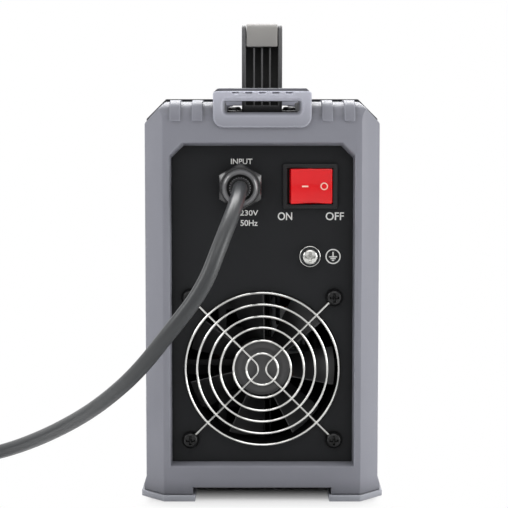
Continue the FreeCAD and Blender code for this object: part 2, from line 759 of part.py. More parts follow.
def top_cover():
    """One bent sheet: the left side, both sloping shoulders, the top with its channel, and a lip."""
    piece = Piece("top_cover")
    outer = [
        (f"-{HALF}", "belly_height"),
        (f"-{HALF}", f"{COVER_TOP} - cover_bend"),
        (f"-{HALF} + cover_bend", COVER_TOP),
        ("-trough_half", COVER_TOP),
        ("-trough_half", "trough_floor"),
        ("trough_half", "trough_floor"),
        ("trough_half", COVER_TOP),
        (f"{HALF} - cover_bend", COVER_TOP),
        (HALF, f"{COVER_TOP} - cover_bend"),
        (HALF, "door_high + door_clearance"),
    ]
    inner = [
        (f"{HALF} - sheet", "door_high + door_clearance"),
        (f"{HALF} - sheet", f"{COVER_TOP} - cover_bend - {MITRE} * sheet"),
        (f"{HALF} - cover_bend - {MITRE} * sheet", f"{COVER_TOP} - sheet"),
        ("trough_half + sheet", f"{COVER_TOP} - sheet"),
        ("trough_half + sheet", "trough_floor - sheet"),
        ("-trough_half - sheet", "trough_floor - sheet"),
        ("-trough_half - sheet", f"{COVER_TOP} - sheet"),
        (f"-{HALF} + cover_bend + {MITRE} * sheet", f"{COVER_TOP} - sheet"),
        (f"-{HALF} + sheet", f"{COVER_TOP} - cover_bend - {MITRE} * sheet"),
        (f"-{HALF} + sheet", "belly_height"),
    ]
    piece.pad("XZ_Plane", f"-{COVER_END}", COVER_END, polygon(*outer, *inner))
    vent_low = "(fan_z - 2 * vent_pitch)"
    vent = piece.pocket("YZ_Plane", f"-{HALF}", f"-{HALF} + sheet", rectangle(
        "-1.5 * vent_length", "-vent_length / 2", vent_low, f"{vent_low} + vent_height", "vent_round"))
    piece.grid([vent], "Z_Axis", f"{VENT_ROWS - 1} * vent_pitch", VENT_ROWS, "Y_Axis", "2 * vent_length", 2)
    hole = piece.pocket("XY_Plane", "trough_floor - sheet", "trough_floor", circle(
        "-handle_screw_x", HANDLE_SCREW_Y, "fan_screw_radius + fit_gap"))
    piece.grid([hole], "X_Axis", "2 * handle_screw_x", 2, "Y_Axis", f"-2 * {HANDLE_SCREW_Y}", 2)


def base_tray():
    """Bent floor sheet with a flange up each side and slots for air."""
    piece = Piece("base_tray")
    left = f"-{HALF} + sheet + fit_gap"
    right = f"({HALF} - sheet - door_flange - 2 * fit_gap)"
    piece.pad("XZ_Plane", f"-{COVER_END}", COVER_END, polygon(
        (left, "belly_height"),
        (HALF, "belly_height"),
        (HALF, TRAY_TOP),
        (right, TRAY_TOP),
        (right, f"{TRAY_TOP} + recess_depth"),
        (f"{right} - sheet", f"{TRAY_TOP} + recess_depth"),
        (f"{right} - sheet", TRAY_TOP),
        (f"{left} + sheet", TRAY_TOP),
        (f"{left} + sheet", f"{TRAY_TOP} + recess_depth"),
        (left, f"{TRAY_TOP} + recess_depth"),
    ))
    for start, end in ((f"-{COVER_END}", f"{SPIGOT_END} + fit_gap"), (f"-{SPIGOT_END} - fit_gap", COVER_END)):
        piece.pocket("XZ_Plane", start, end, rectangle(
            f"-{HALF}", HALF, TRAY_TOP, f"{TRAY_TOP} + 2 * recess_depth"))
    vent = piece.pocket("XY_Plane", "belly_height", TRAY_TOP, rectangle(
        "power_middle - vent_length / 2", "power_middle + vent_length / 2", "0", "vent_height", "vent_round"))
    piece.grid([vent], "Y_Axis", f"{VENT_ROWS - 1} * vent_pitch", VENT_ROWS)


def divider_wall():
    piece = Piece("divider_wall")
    end = f"({SPIGOT_END} + fit_gap)"
    piece.pad("YZ_Plane", "divider_x", DIVIDER_FACE, rectangle(
        end, f"-{end}", TRAY_TOP, "trough_floor - sheet - fit_gap"))
    piece.pocket("YZ_Plane", "divider_x", DIVIDER_FACE, circle(
        "roll_y", DRIVE_Z, "drive_shaft_radius + fit_gap"))


def side_door():
    """Hinged door over the wire bay, with a flange along each free edge and a knuckle strip."""
    piece = Piece("side_door")
    inner = f"({HALF} - sheet)"
    rear = f"({SPIGOT_END} + door_clearance)"
    front = f"(-{SPIGOT_END} - door_clearance)"
    piece.pad("YZ_Plane", inner, HALF, rectangle(rear, front, "door_low", "door_high"))
    piece.pad("YZ_Plane", f"{inner} - door_flange", inner, polygon(
        (f"{front} - 2 * door_flange", "door_low"),
        (f"{front} - 2 * door_flange", "door_low + sheet"),
        (f"{rear} + sheet", "door_low + sheet"),
        (f"{rear} + sheet", "door_high - sheet"),
        (f"{front} - 2 * door_flange", "door_high - sheet"),
        (f"{front} - 2 * door_flange", "door_high"),
        (rear, "door_high"),
        (rear, "door_low"),
    ))
    middle = "(hinge_low + (hinge_length - hinge_middle) / 2)"
    strip = piece.pad("XY_Plane", middle, f"{middle} + hinge_middle", polygon(
        (f"{inner} + fit_gap / 2", f"{front} - sheet"),
        (f"{inner} + fit_gap / 2", HINGE_Y),
        ("hinge_x", HINGE_Y),
        ("hinge_x", f"{HINGE_Y} - knuckle_radius"),
        (HALF, f"{HINGE_Y} - knuckle_radius"),
        (HALF, f"{front} - sheet"),
    ))
    knuckle = piece.pad("XY_Plane", middle, f"{middle} + hinge_middle", circle(
        "hinge_x", HINGE_Y, "knuckle_radius"))
    bore = piece.pocket("XY_Plane", middle, f"{middle} + hinge_middle", circle(
        "hinge_x", HINGE_Y, "hinge_pin_radius + run_gap"))
    piece.grid([strip, knuckle, bore], "Z_Axis", "hinge_spacing", 2)
    piece.pocket("YZ_Plane", inner, HALF, circle(
        f"{SPIGOT_END} + latch_inset", "latch_z", "latch_stem_radius + run_gap"))


def hinge_leaves():
    """Fixed leaves on the front bezel's spigot, each with a knuckle above and below the door's."""
    piece = Piece("hinge_leaves")
    seat = f"({HALF} - sheet - fit_gap)"
    gap = "(hinge_length - hinge_middle) / 2 - fit_gap"
    leaf = piece.pad("YZ_Plane", seat, f"{seat} + 1", polygon(
        (f"-{BEZEL_END} - fit_gap", "hinge_low"),
        (f"-{BEZEL_END} - fit_gap", "hinge_low + hinge_length"),
        (HINGE_Y, "hinge_low + hinge_length"),
        (HINGE_Y, f"hinge_low + hinge_length - ({gap})"),
        (f"{HINGE_Y} + knuckle_radius + fit_gap", f"hinge_low + hinge_length - ({gap})"),
        (f"{HINGE_Y} + knuckle_radius + fit_gap", f"hinge_low + {gap}"),
        (HINGE_Y, f"hinge_low + {gap}"),
        (HINGE_Y, "hinge_low"),
    ))
    knuckles = []
    for low in ("hinge_low", f"hinge_low + hinge_length - ({gap})"):
        knuckles.append(piece.pad("XY_Plane", low, f"{low} + {gap}", circle(
            "hinge_x", HINGE_Y, "knuckle_radius")))
    bore = piece.pocket("XY_Plane", "hinge_low", "hinge_low + hinge_length", circle(
        "hinge_x", HINGE_Y, "hinge_pin_radius + run_gap"))
    piece.grid([leaf, *knuckles, bore], "Z_Axis", "hinge_spacing", 2)


def hinge_pins():
    piece = Piece("hinge_pins", "hinge_x", HINGE_Y, "hinge_low")
    pin = piece.revolve(polygon(
        ("0", "-fit_gap"),
        ("hinge_pin_radius", "-fit_gap"),
        ("hinge_pin_radius", "hinge_length + fit_gap"),
        ("knuckle_radius", "hinge_length + fit_gap"),
        ("knuckle_radius", "hinge_length + sheet"),
        ("0", "hinge_length + sheet"),
    ))
    piece.grid([pin], "Z_Axis", "hinge_spacing", 2)


def door_latch():
    """Quarter-turn catch: a coin-slot head outside and a cam inside the door."""
    piece = Piece("door_latch", HALF, f"{SPIGOT_END} + latch_inset", "latch_z", TO_RIGHT)
    inside = "latch_inside"
    piece.revolve(polygon(
        ("0", f"-{inside} - 2 * sheet"),
        ("latch_stem_radius + sheet", f"-{inside} - 2 * sheet"),
        ("latch_stem_radius + sheet", f"-{inside}"),
        ("latch_stem_radius", f"-{inside}"),
        ("latch_stem_radius", "fit_gap"),
        ("latch_head_radius", "fit_gap"),
        ("latch_head_radius", "sheet", "sheet / 3"),
        ("0", "sheet"),
    ))
    piece.pad("XY_Plane", f"-{inside} - 2 * sheet", f"-{inside}", rectangle(
        "-latch_reach", "0", "-latch_cam_width / 2", "latch_cam_width / 2"))
    piece.pocket("XY_Plane", "fit_gap + sheet / 3", "2 * sheet", rectangle(
        "-latch_head_radius * 0.7", "latch_head_radius * 0.7", "-sheet", "sheet"))


def handle_frame():
    """Arched handle: two rims joined by a bar, ribbed channels in the legs and a foot at each end."""
    piece = Piece("handle_frame")
    half = "(handle_width / 2)"
    channel = f"({half} - handle_rim)"
    foot = "(handle_reach - handle_lean)"
    piece.pad("YZ_Plane", f"-{half}", half, polygon(
        (f"-{foot}", "trough_floor"),
        ("-handle_reach", "grip_low"),
        ("-handle_reach", "handle_top", "nose_radius"),
        ("handle_reach", "handle_top", "nose_radius"),
        ("handle_reach", "grip_low"),
        (foot, "trough_floor"),
        (f"{foot} - handle_leg", "trough_floor"),
        ("handle_reach - handle_leg", "handle_bar_low", "nose_radius * 2"),
        ("-handle_reach + handle_leg", "handle_bar_low", "nose_radius * 2"),
        (f"-{foot} + handle_leg", "trough_floor"),
    ))
    piece.pocket("YZ_Plane", f"-{channel}", channel, rectangle(
        "-2 * handle_reach", "2 * handle_reach", "grip_low", "handle_top + handle_rim"))
    rise = "(flange_thickness * 2)"
    run = f"(handle_lean * {rise} / (grip_low - trough_floor))"
    trench = piece.pocket("YZ_Plane", f"-{channel}", channel, polygon(
        (f"-{foot} - {run} - handle_lean", f"trough_floor + {rise}"),
        (f"-{foot} - {run} + leg_channel", f"trough_floor + {rise}"),
        ("-handle_reach + leg_channel", "grip_low + handle_rim"),
        ("-handle_reach - handle_lean", "grip_low + handle_rim"),
    ))
    ribs = []
    for number in (-1, 0, 1):
        middle = f"({number} * leg_rib_pitch)"
        ribs.append(piece.pad("YZ_Plane", f"{middle} - leg_rib / 2", f"{middle} + leg_rib / 2", polygon(
            (f"-{foot} + sheet - {run}", f"trough_floor + {rise} - sheet"),
            (f"-{foot} + leg_channel + sheet - {run}", f"trough_floor + {rise} - sheet"),
            ("-handle_reach + leg_channel + sheet", "grip_low"),
            ("-handle_reach + sheet", "grip_low"),
        )))
    piece.mirror([trench, *ribs], "XZ_Plane")
    flange = piece.pad("XY_Plane", "trough_floor", FLANGE_TOP, rectangle(
        "-flange_half", "flange_half", f"-{foot}", f"-{foot} + handle_leg", "handle_rim"))
    holes = [piece.pocket("XY_Plane", "trough_floor", FLANGE_TOP, circle(
        x, HANDLE_SCREW_Y, "fan_screw_radius + fit_gap")) for x in ("-handle_screw_x", "handle_screw_x")]
    piece.mirror([flange, *holes], "XZ_Plane")


def handle_grip():
    """Insert along the top of the handle, with a nose at each end."""
    piece = Piece("handle_grip")
    half = "(handle_width / 2 - handle_rim - fit_gap)"
    top = "(handle_top + grip_crown)"
    piece.pad("YZ_Plane", f"-{half}", half, polygon(
        ("-handle_reach", "grip_low"),
        ("-handle_reach", top, "nose_radius"),
        ("handle_reach", top, "nose_radius"),
        ("handle_reach", "grip_low"),
    ))
    piece.dress("Fillet", "grip_crown", lambda edge: (
        runs_along(edge, Y_AXIS) and near(edge.BoundBox.ZMin, top)))


def pan_screws(label, x, y, z, rotation, head_radius, head_height, shank_radius, shank_length,
               first, first_length, second, second_length):
    """Four pan-head screws on a rectangle, heads along the piece's own +Z."""
    piece = Piece(label, x, y, z, rotation)
    screw = piece.revolve(polygon(
        ("0", f"-({shank_length})"),
        (shank_radius, f"-({shank_length})"),
        (shank_radius, "0"),
        (head_radius, "0"),
        (head_radius, head_height, f"{head_height} * 0.6"),
        ("0", head_height),
    ))
    piece.grid([screw], first, first_length, 2, second, second_length, 2)


def foot_pads():
    """Two pads under each bezel, a little larger all round than its legs."""
    piece = Piece("foot_pads")
    outer = f"({HALF} + leg_flare + pad_margin)"
    face = f"({REAR} - pad_margin)"
    bevel = f"(({outer} - {FACE_HALF}) * bevel_depth / bevel_width)"
    pads = []
    for toward in ("", "-"):
        pads.append(piece.pad("XY_Plane", "0", "pad_height", polygon(
            ("leg_inner - pad_margin", f"{toward}({face})"),
            (FACE_HALF, f"{toward}({face})"),
            (outer, f"{toward}({face} + {bevel})"),
            (outer, f"{toward}({BEZEL_END} + pad_margin)"),
            ("leg_inner - pad_margin", f"{toward}({BEZEL_END} + pad_margin)"),
        )))
    piece.mirror(pads, "YZ_Plane")


def fan_frame():
    """Square fan frame with a round bore, four struts and the motor cup they carry."""
    piece = Piece("fan_frame")
    back = f"({REAR_PANEL_BACK} + fan_depth)"
    piece.pad("XZ_Plane", REAR_PANEL_BACK, back, rectangle(
        "-fan_side / 2", "fan_side / 2", "fan_z - fan_side / 2", "fan_z + fan_side / 2", "dimple_radius"))
    piece.pocket("XZ_Plane", REAR_PANEL_BACK, back, circle("0", "fan_z", "fan_bore"))
    hole = piece.pocket("XZ_Plane", REAR_PANEL_BACK, back, circle(
        "-fan_hole_spacing / 2", "fan_z - fan_hole_spacing / 2", "fan_screw_radius + fit_gap"))
    piece.grid([hole], "X_Axis", "fan_hole_spacing", 2, "Z_Axis", "fan_hole_spacing", 2)
    cup = f"({back} - 2 * panel_thickness)"
    piece.pad("XZ_Plane", cup, back, circle("0", "fan_z", "fan_hub_radius"))
    end = "(fan_bore + sheet / 2)"
    piece.pad("XZ_Plane", cup, back, rectangle(
        f"-{end}", end, "fan_z - panel_thickness", "fan_z + panel_thickness"))
    piece.pad("XZ_Plane", cup, back, rectangle(
        "-panel_thickness", "panel_thickness", f"fan_z - {end}", f"fan_z + {end}"))
    piece.pad("XZ_Plane", f"{cup} - fan_depth / 3", cup, circle("0", "fan_z", "fan_shaft_radius"))


def fan_rotor():
    """Hub cup with seven twisted blades lofted from root to tip."""
    piece = Piece("fan_rotor", "0", f"{REAR_PANEL_BACK} + fit_gap", "fan_z", TO_FRONT)
    depth = "(fan_depth - 2 * panel_thickness - 2 * fit_gap)"
    piece.revolve(polygon(
        ("0", "0"),
        ("fan_hub_radius", "0", "sheet"),
        ("fan_hub_radius", depth),
        ("fan_shaft_radius + run_gap", depth),
        ("fan_shaft_radius + run_gap", f"{depth} - fan_depth / 3 - fit_gap"),
        ("0", f"{depth} - fan_depth / 3 - fit_gap"),
    ))
    sections = []
    for reach, sweep, margin in (
            ("fan_hub_radius - panel_thickness", "blade_root_sweep", "blade_root_margin"),
            ("fan_bore - fan_tip_gap - panel_thickness", "blade_tip_sweep", "blade_tip_margin")):
        sections.append(("YZ_Plane", reach, polygon(
            (f"blade_thickness / 2 - {sweep}", f"{depth} - {margin}"),
            (f"-blade_thickness / 2 - {sweep}", f"{depth} - {margin}"),
            (f"{sweep} - blade_thickness / 2", margin),
            (f"{sweep} + blade_thickness / 2", margin),
        )))
    blade = piece.loft("AdditiveLoft", *sections)
    piece.polar([blade], "Z_Axis", BLADES)


GUARD_REACH = "(fan_hole_spacing / 2 - guard_eyelet * 0.7)"
SUPPORT_Y = f"({REAR_PANEL} - guard_wire - guard_lift)"
EYELET_Y = f"({REAR_PANEL} - guard_eyelet_wire)"


def guard_wire_path(label, sign):
    """Bent line of one support wire: in from a corner, round the middle and out to the next."""
    path = doc.addObject("Sketcher::SketchObject", label)
    place(path, "0", SUPPORT_Y, "fan_z", TO_REAR)
    corner = sign * size(GUARD_REACH)
    bend = size("guard_apex")
    turn = bend / math.sqrt(2)
    first = path.addGeometry(Part.LineSegment(
        FreeCAD.Vector(corner, abs(corner), 0), FreeCAD.Vector(sign * turn, turn, 0)))
    last = path.addGeometry(Part.LineSegment(
        FreeCAD.Vector(sign * turn, -turn, 0), FreeCAD.Vector(corner, -abs(corner), 0)))
    facing = math.pi if sign > 0 else 0.0
    ring = Part.Circle(FreeCAD.Vector(sign * bend * math.sqrt(2), 0, 0), Z_AXIS, bend)
    arc = path.addGeometry(Part.ArcOfCircle(ring, facing - math.pi / 4, facing + math.pi / 4))
    top_end, low_end = (1, 2) if sign > 0 else (2, 1)
    pin_down(path, first, 1, f"{sign} * {GUARD_REACH}", GUARD_REACH)
    pin_down(path, last, 2, f"{sign} * {GUARD_REACH}", f"-{GUARD_REACH}")
    middle = path.addGeometry(Part.Point(FreeCAD.Vector()), True)
    path.addConstraint(Sketcher.Constraint("Coincident", middle, 1, -1, 1))
    path.addConstraint(Sketcher.Constraint("PointOnObject", middle, 1, first))
    path.addConstraint(Sketcher.Constraint("PointOnObject", middle, 1, last))
    path.addConstraint(Sketcher.Constraint("Tangent", first, 2, arc, top_end))
    path.addConstraint(Sketcher.Constraint("Tangent", arc, low_end, last, 1))
    limit = path.addConstraint(Sketcher.Constraint("Radius", arc, bend))
    path.setExpression(f"Constraints[{limit}]", cells("guard_apex"))
    return path


def wire_ring(label, radius, wire, x, y, z):
    """Ring of round wire that faces the rear."""
    ring = doc.addObject("Part::Torus", label)
    ring.setExpression("Radius1", cells(radius))
    ring.setExpression("Radius2", cells(wire))
    place(ring, x, y, z, TO_REAR)
    return ring


def fan_guard():
    """Wire finger guard: six rings welded on two bent support wires with an eyelet at each corner."""
    ring_y = f"({SUPPORT_Y} - guard_wire * 1.8)"
    wires = [wire_ring(f"ring_{radius}", radius, "guard_wire", "0", ring_y, "fan_z") for radius in (
        "guard_inmost", "guard_second", "guard_third", "guard_fourth", "guard_fifth", "guard_outer")]
    for sign, side in ((-1, "left"), (1, "right")):
        path = guard_wire_path(f"guard_path_{side}", sign)
        section = doc.addObject("Part::Circle", f"guard_section_{side}")
        section.setExpression("Radius", cells("guard_wire"))
        place(section, f"{sign} * {GUARD_REACH}", SUPPORT_Y, f"fan_z + {GUARD_REACH}",
              FreeCAD.Rotation(Z_AXIS, FreeCAD.Vector(sign, 0, 1)))
        doc.recompute()
        wire = doc.addObject("Part::Sweep", f"guard_support_{side}")
        wire.Sections = [section]
        wire.Spine = (path, [f"Edge{number}" for number in (1, 2, 3)])
        wire.Solid = True
        wires.append(wire)
        for level in (-1, 1):
            wires.append(wire_ring(f"guard_eyelet_{side}_{'low' if level < 0 else 'high'}", "guard_eyelet",
                                   "guard_eyelet_wire", f"{sign} * fan_hole_spacing / 2", EYELET_Y,
                                   f"fan_z + {level} * fan_hole_spacing / 2"))
    guard = doc.addObject("Part::MultiFuse", "fan_guard")
    guard.Shapes = wires
    guard.Label = "fan_guard"
    subparts.append(guard)


def hexagon(flats):
    """Six-sided outline with two of its flats upright."""
    half = f"(({flats}) / 2)"
    point = f"(({flats}) / sqrt(3))"
    return polygon(
        (half, f"-{point} / 2"), (half, f"{point} / 2"), ("0", point),
        (f"-{half}", f"{point} / 2"), (f"-{half}", f"-{point} / 2"), ("0", f"-{point}"))


def mains_gland():
    """Cable gland: hexagon body through the panel, domed nut, seal round the cord and locknut inside."""
    body = Piece("gland_body", "gland_x", REAR_PANEL, "gland_z", TO_REAR)
    body.pad("XY_Plane", "0", "gland_flange", hexagon("gland_flats"))
    body.pad("XY_Plane", "-panel_thickness - gland_shank", "0", circle("0", "0", "gland_shank"))
    body.pad("XY_Plane", "gland_flange", "gland_flange + sheet", circle("0", "0", "gland_dome_radius - sheet"))
    body.pocket("XY_Plane", "-panel_thickness - gland_shank", "gland_flange + sheet", circle(
        "0", "0", "gland_bore"))
    cap = Piece("gland_cap", "gland_x", REAR_PANEL, "gland_z", TO_REAR)
    cap.revolve(polygon(
        ("gland_mouth", "gland_flange + sheet + fit_gap"),
        ("gland_dome_radius", "gland_flange + sheet + fit_gap"),
        ("gland_dome_radius", "gland_reach", "2 * sheet"),
        ("gland_mouth", "gland_reach"),
    ))
    seal = Piece("gland_seal", "gland_x", REAR_PANEL, "gland_z", TO_REAR)
    seal.revolve(polygon(
        ("cord_radius", "gland_flange + 2 * sheet"),
        ("gland_mouth", "gland_flange + 2 * sheet"),
        ("gland_mouth", "gland_reach - 3 * sheet"),
        ("gland_seal", "gland_reach - 3 * sheet"),
        ("gland_seal", "gland_reach + sheet", "sheet / 2"),
        ("cord_radius", "gland_reach + sheet"),
    ))
    nut = Piece("gland_locknut", "gland_x", REAR_PANEL_BACK, "gland_z", TO_REAR)
    nut.pad("XY_Plane", "-gland_flange", "0", hexagon("gland_flats + sheet"), circle("0", "0", "gland_shank"))


def mains_switch():
    """Snap-in rocker switch: housing with its rim outside the panel and contact blades inside."""
    housing = Piece("switch_housing")
    half_x = "(rocker_width / 2 + switch_rim / 2)"
    half_z = "(rocker_height / 2 + switch_rim / 2)"
    housing.pad("XZ_Plane", f"{REAR_PANEL} - switch_rim", REAR_PANEL, rectangle(
        "switch_x - switch_width / 2", "switch_x + switch_width / 2",
        "switch_z - switch_height / 2", "switch_z + switch_height / 2", "sheet"))
    housing.pad("XZ_Plane", REAR_PANEL, f"{REAR_PANEL} + switch_body_depth", rectangle(
        f"switch_x - {half_x}", f"switch_x + {half_x}", f"switch_z - {half_z}", f"switch_z + {half_z}"))
    mouth_depth = f"({REAR_PANEL} + rocker_depth + rocker_rise)"
    housing.pocket("XZ_Plane", f"{REAR_PANEL} - switch_rim", mouth_depth, rectangle(
        "switch_x - rocker_width / 2 - fit_gap", "switch_x + rocker_width / 2 + fit_gap",
        "switch_z - rocker_height / 2 - fit_gap", "switch_z + rocker_height / 2 + fit_gap"))
    housing.pocket("XY_Plane", f"switch_z - {half_z}", f"switch_z + {half_z}", circle(
        "switch_x", f"{REAR_PANEL} + rocker_pivot_depth", "fan_shaft_radius + run_gap"))
    housing_back = f"({REAR_PANEL} + switch_body_depth)"
    blade = housing.pad("XZ_Plane", housing_back, f"{housing_back} + blade_length", rectangle(
        f"switch_x - {half_x} / 2 - sheet / 2", f"switch_x - {half_x} / 2 + sheet / 2",
        "switch_z - blade_spread - 3 * sheet", "switch_z - blade_spread + 2 * sheet"))
    housing.grid([blade], "X_Axis", half_x, 2, "Z_Axis", "2 * blade_spread", 2)
    rocker = Piece("switch_rocker", "switch_x", f"{REAR_PANEL} + rocker_pivot_depth", "switch_z")
    rise = "(rocker_rise + rocker_width / 2 * tan(rocker_angle))"
    rocker.pad("XY_Plane", "-rocker_height / 2", "rocker_height / 2", polygon(
        ("0", "-rocker_rise"),
        ("-rocker_width / 2 + sheet / 2", f"-{rise}", "sheet / 2"),
        ("-rocker_width / 2 + sheet / 2", "0"),
        ("-rocker_width / 4", "rocker_depth / 2"),
        ("rocker_width / 4", "rocker_depth / 2"),
        ("rocker_width / 2 - sheet / 2", "0"),
        ("rocker_width / 2 - sheet / 2", f"-{rise}", "sheet / 2"),
    ))
    rocker.pad("XY_Plane", f"-{half_z} + fit_gap", f"{half_z} - fit_gap", circle("0", "0", "fan_shaft_radius"))
    tilt = FreeCAD.Rotation(Z_AXIS, size("rocker_angle"))
    rocker.body.Placement = FreeCAD.Placement(rocker.body.Placement.Base, tilt)
    rocker.body.setExpression("Placement.Rotation.Angle", cells("rocker_angle"))


def earth_stud():
    screw = Piece("earth_screw", "switch_x", f"{REAR_PANEL} - 2 * sheet", "earth_z", TO_REAR)
    screw.revolve(polygon(
        ("0", "-gland_shank - gland_flange"),
        ("earth_shank_radius", "-gland_shank - gland_flange"),
        ("earth_shank_radius", "0"),
        ("earth_head_radius", "0"),
        ("earth_head_radius", "screw_head_height", "screw_head_height / 2"),
        ("0", "screw_head_height"),
    ))
    washers = Piece("earth_washers", "switch_x", REAR_PANEL, "earth_z", TO_REAR)
    washers.pad("XY_Plane", "0", "sheet", circle("0", "0", "earth_washer_radius"),
                circle("0", "0", "earth_shank_radius + fit_gap / 2"))
    washers.pad("XY_Plane", "sheet", "2 * sheet", circle("0", "0", "earth_head_radius + fit_gap"),
                circle("0", "0", "earth_shank_radius + fit_gap / 2"))


def front_controls():
    """Display window, two turning knobs with their shafts, a push button and the board behind them."""
    window = Piece("display_window")
    window.pad("XZ_Plane", FRONT_PANEL, f"{FRONT_PANEL} + display_proud", rectangle(
        "-display_width / 2", "display_width / 2",
        "display_z - display_height / 2", "display_z + display_height / 2", "panel_thickness"))
    window.pad("XZ_Plane", FRONT_PANEL_BACK, FRONT_PANEL, rectangle(
        "-display_width / 2 + panel_thickness + fit_gap", "display_width / 2 - panel_thickness - fit_gap",
        "display_z - display_height / 2 + panel_thickness + fit_gap",
        "display_z + display_height / 2 - panel_thickness - fit_gap"))
    board_face = f"({FRONT_PANEL_BACK} - knob_height)"
    board = Piece("control_board")
    board.pad("XZ_Plane", f"{board_face} - board_thickness", board_face, rectangle(
        "-display_width / 2 - knob_radius", "display_width / 2 + knob_radius",
        "knob_z - knob_radius", "display_z + display_height / 2"))
    board.pad("XZ_Plane", board_face, FRONT_PANEL_BACK, rectangle(
        "-display_width / 2 + panel_thickness + fit_gap", "display_width / 2 - panel_thickness - fit_gap",
        "display_z - display_height / 2 + panel_thickness + fit_gap",
        "display_z + display_height / 2 - panel_thickness - fit_gap"))
    for centre in ("-knob_x", "knob_x"):
        board.pad("XZ_Plane", board_face, FRONT_PANEL_BACK, circle(centre, "knob_z", "2 * knob_shaft_radius"))
        board.pocket("XZ_Plane", board_face, FRONT_PANEL_BACK, circle(
            centre, "knob_z", "knob_shaft_radius + knob_run_gap"))
    board.pad("XZ_Plane", board_face, f"{FRONT_PANEL_BACK} - 2 * button_proud", circle(
        "0", "button_z", "button_radius"))
    for label, centre in (("wire_speed_knob", "knob_x"), ("voltage_knob", "-knob_x")):
        knob = Piece(label, centre, FRONT_PANEL, "knob_z", TO_FRONT)
        knob.revolve(polygon(
            ("0", "-panel_thickness - knob_height + sheet"),
            ("knob_shaft_radius", "-panel_thickness - knob_height + sheet"),
            ("knob_shaft_radius", "sheet / 2"),
            ("knob_radius", "sheet / 2"),
            ("knob_radius", "sheet * 2"),
            ("knob_radius - sheet", "sheet * 3"),
            ("knob_radius * 0.8", "knob_height", "sheet"),
            ("0", "knob_height"),
        ))
        flute = knob.pocket("XY_Plane", "sheet * 3", "knob_height + sheet", circle(
            "knob_radius", "0", "knob_flute"))
        knob.polar([flute], "Z_Axis", KNOB_FLUTES)
    button = Piece("mode_button", "0", FRONT_PANEL, "button_z", TO_FRONT)
    button.revolve(polygon(
        ("0", "-panel_thickness - button_proud + fit_gap"),
        ("button_radius + sheet", "-panel_thickness - button_proud + fit_gap"),
        ("button_radius + sheet", "-panel_thickness - fit_gap"),
        ("button_radius", "-panel_thickness - fit_gap"),
        ("button_radius", "button_proud", "sheet / 2"),
        ("0", "button_proud"),
    ))


def torch_connector():
    """Central torch connector: square moulded flange with a metal socket through it."""
    flange = Piece("torch_socket_flange", "wire_x", FRONT_PANEL, "wire_z", TO_FRONT)
    half = "(torch_flange / 2)"
    flange.pad("XY_Plane", "0", "panel_thickness * 2", rectangle(
        f"-{half}", half, f"-{half}", half, "panel_thickness * 2"))
    flange.pad("XY_Plane", "-panel_thickness - gland_flange", "torch_reach - panel_thickness", circle(
        "0", "0", "torch_body_radius"))
    flange.pocket("XY_Plane", "-panel_thickness - gland_flange", "torch_reach", circle(
        "0", "0", "torch_body_radius - panel_thickness * 2"))
    hole = flange.pocket("XY_Plane", "0", "panel_thickness * 2", circle(
        "-torch_screw_spacing / 2", "-torch_screw_spacing / 2", "fan_screw_radius + fit_gap"))
    flange.grid([hole], "X_Axis", "torch_screw_spacing", 2, "Y_Axis", "torch_screw_spacing", 2)
    socket = Piece("torch_socket", "wire_x", FRONT_PANEL, "wire_z", TO_FRONT)
    inner = "(torch_body_radius - panel_thickness * 2 - fit_gap)"
    socket.revolve(polygon(
        ("torch_bore", f"-({FRONT_PANEL} - plate_front - 2 * guide_radius)"),
        (inner, f"-({FRONT_PANEL} - plate_front - 2 * guide_radius)"),
        (inner, "torch_reach"),
        ("torch_bore", "torch_reach"),
    ))


def output_sockets():
    """Two bayonet output sockets: insulating bodies and the metal contacts inside them."""
    high = "output_low + output_spacing"
    bodies = Piece("output_socket_bodies", "output_x", FRONT_PANEL, high, TO_FRONT)
    body = bodies.revolve(polygon(
        ("output_contact_radius", "-panel_thickness - output_inside"),
        ("output_hole_radius", "-panel_thickness - output_inside"),
        ("output_hole_radius", "0"),
        ("output_rim_radius", "0"),
        ("output_rim_radius", "panel_thickness * 1.5"),
        ("output_hole_radius + sheet", "output_reach", "sheet"),
        ("output_mouth_radius", "output_reach", "sheet / 2"),
        ("output_mouth_radius", "-panel_thickness"),
        ("output_contact_radius", "-panel_thickness"),
    ))
    bodies.grid([body], "Y_Axis", "output_spacing", 2)
    contacts = Piece("output_socket_contacts", "output_x", FRONT_PANEL, high, TO_FRONT)
    contact = contacts.revolve(polygon(
        ("0", "-panel_thickness - output_inside - output_reach / 2"),
        ("output_contact_radius - fit_gap / 3", "-panel_thickness - output_inside - output_reach / 2"),
        ("output_contact_radius - fit_gap / 3", "output_reach - panel_thickness"),
        ("output_bore", "output_reach - panel_thickness"),
        ("output_bore", "-panel_thickness - output_bore"),
        ("0", "-panel_thickness - output_bore"),
    ))
    contacts.grid([contact], "Y_Axis", "output_spacing", 2)


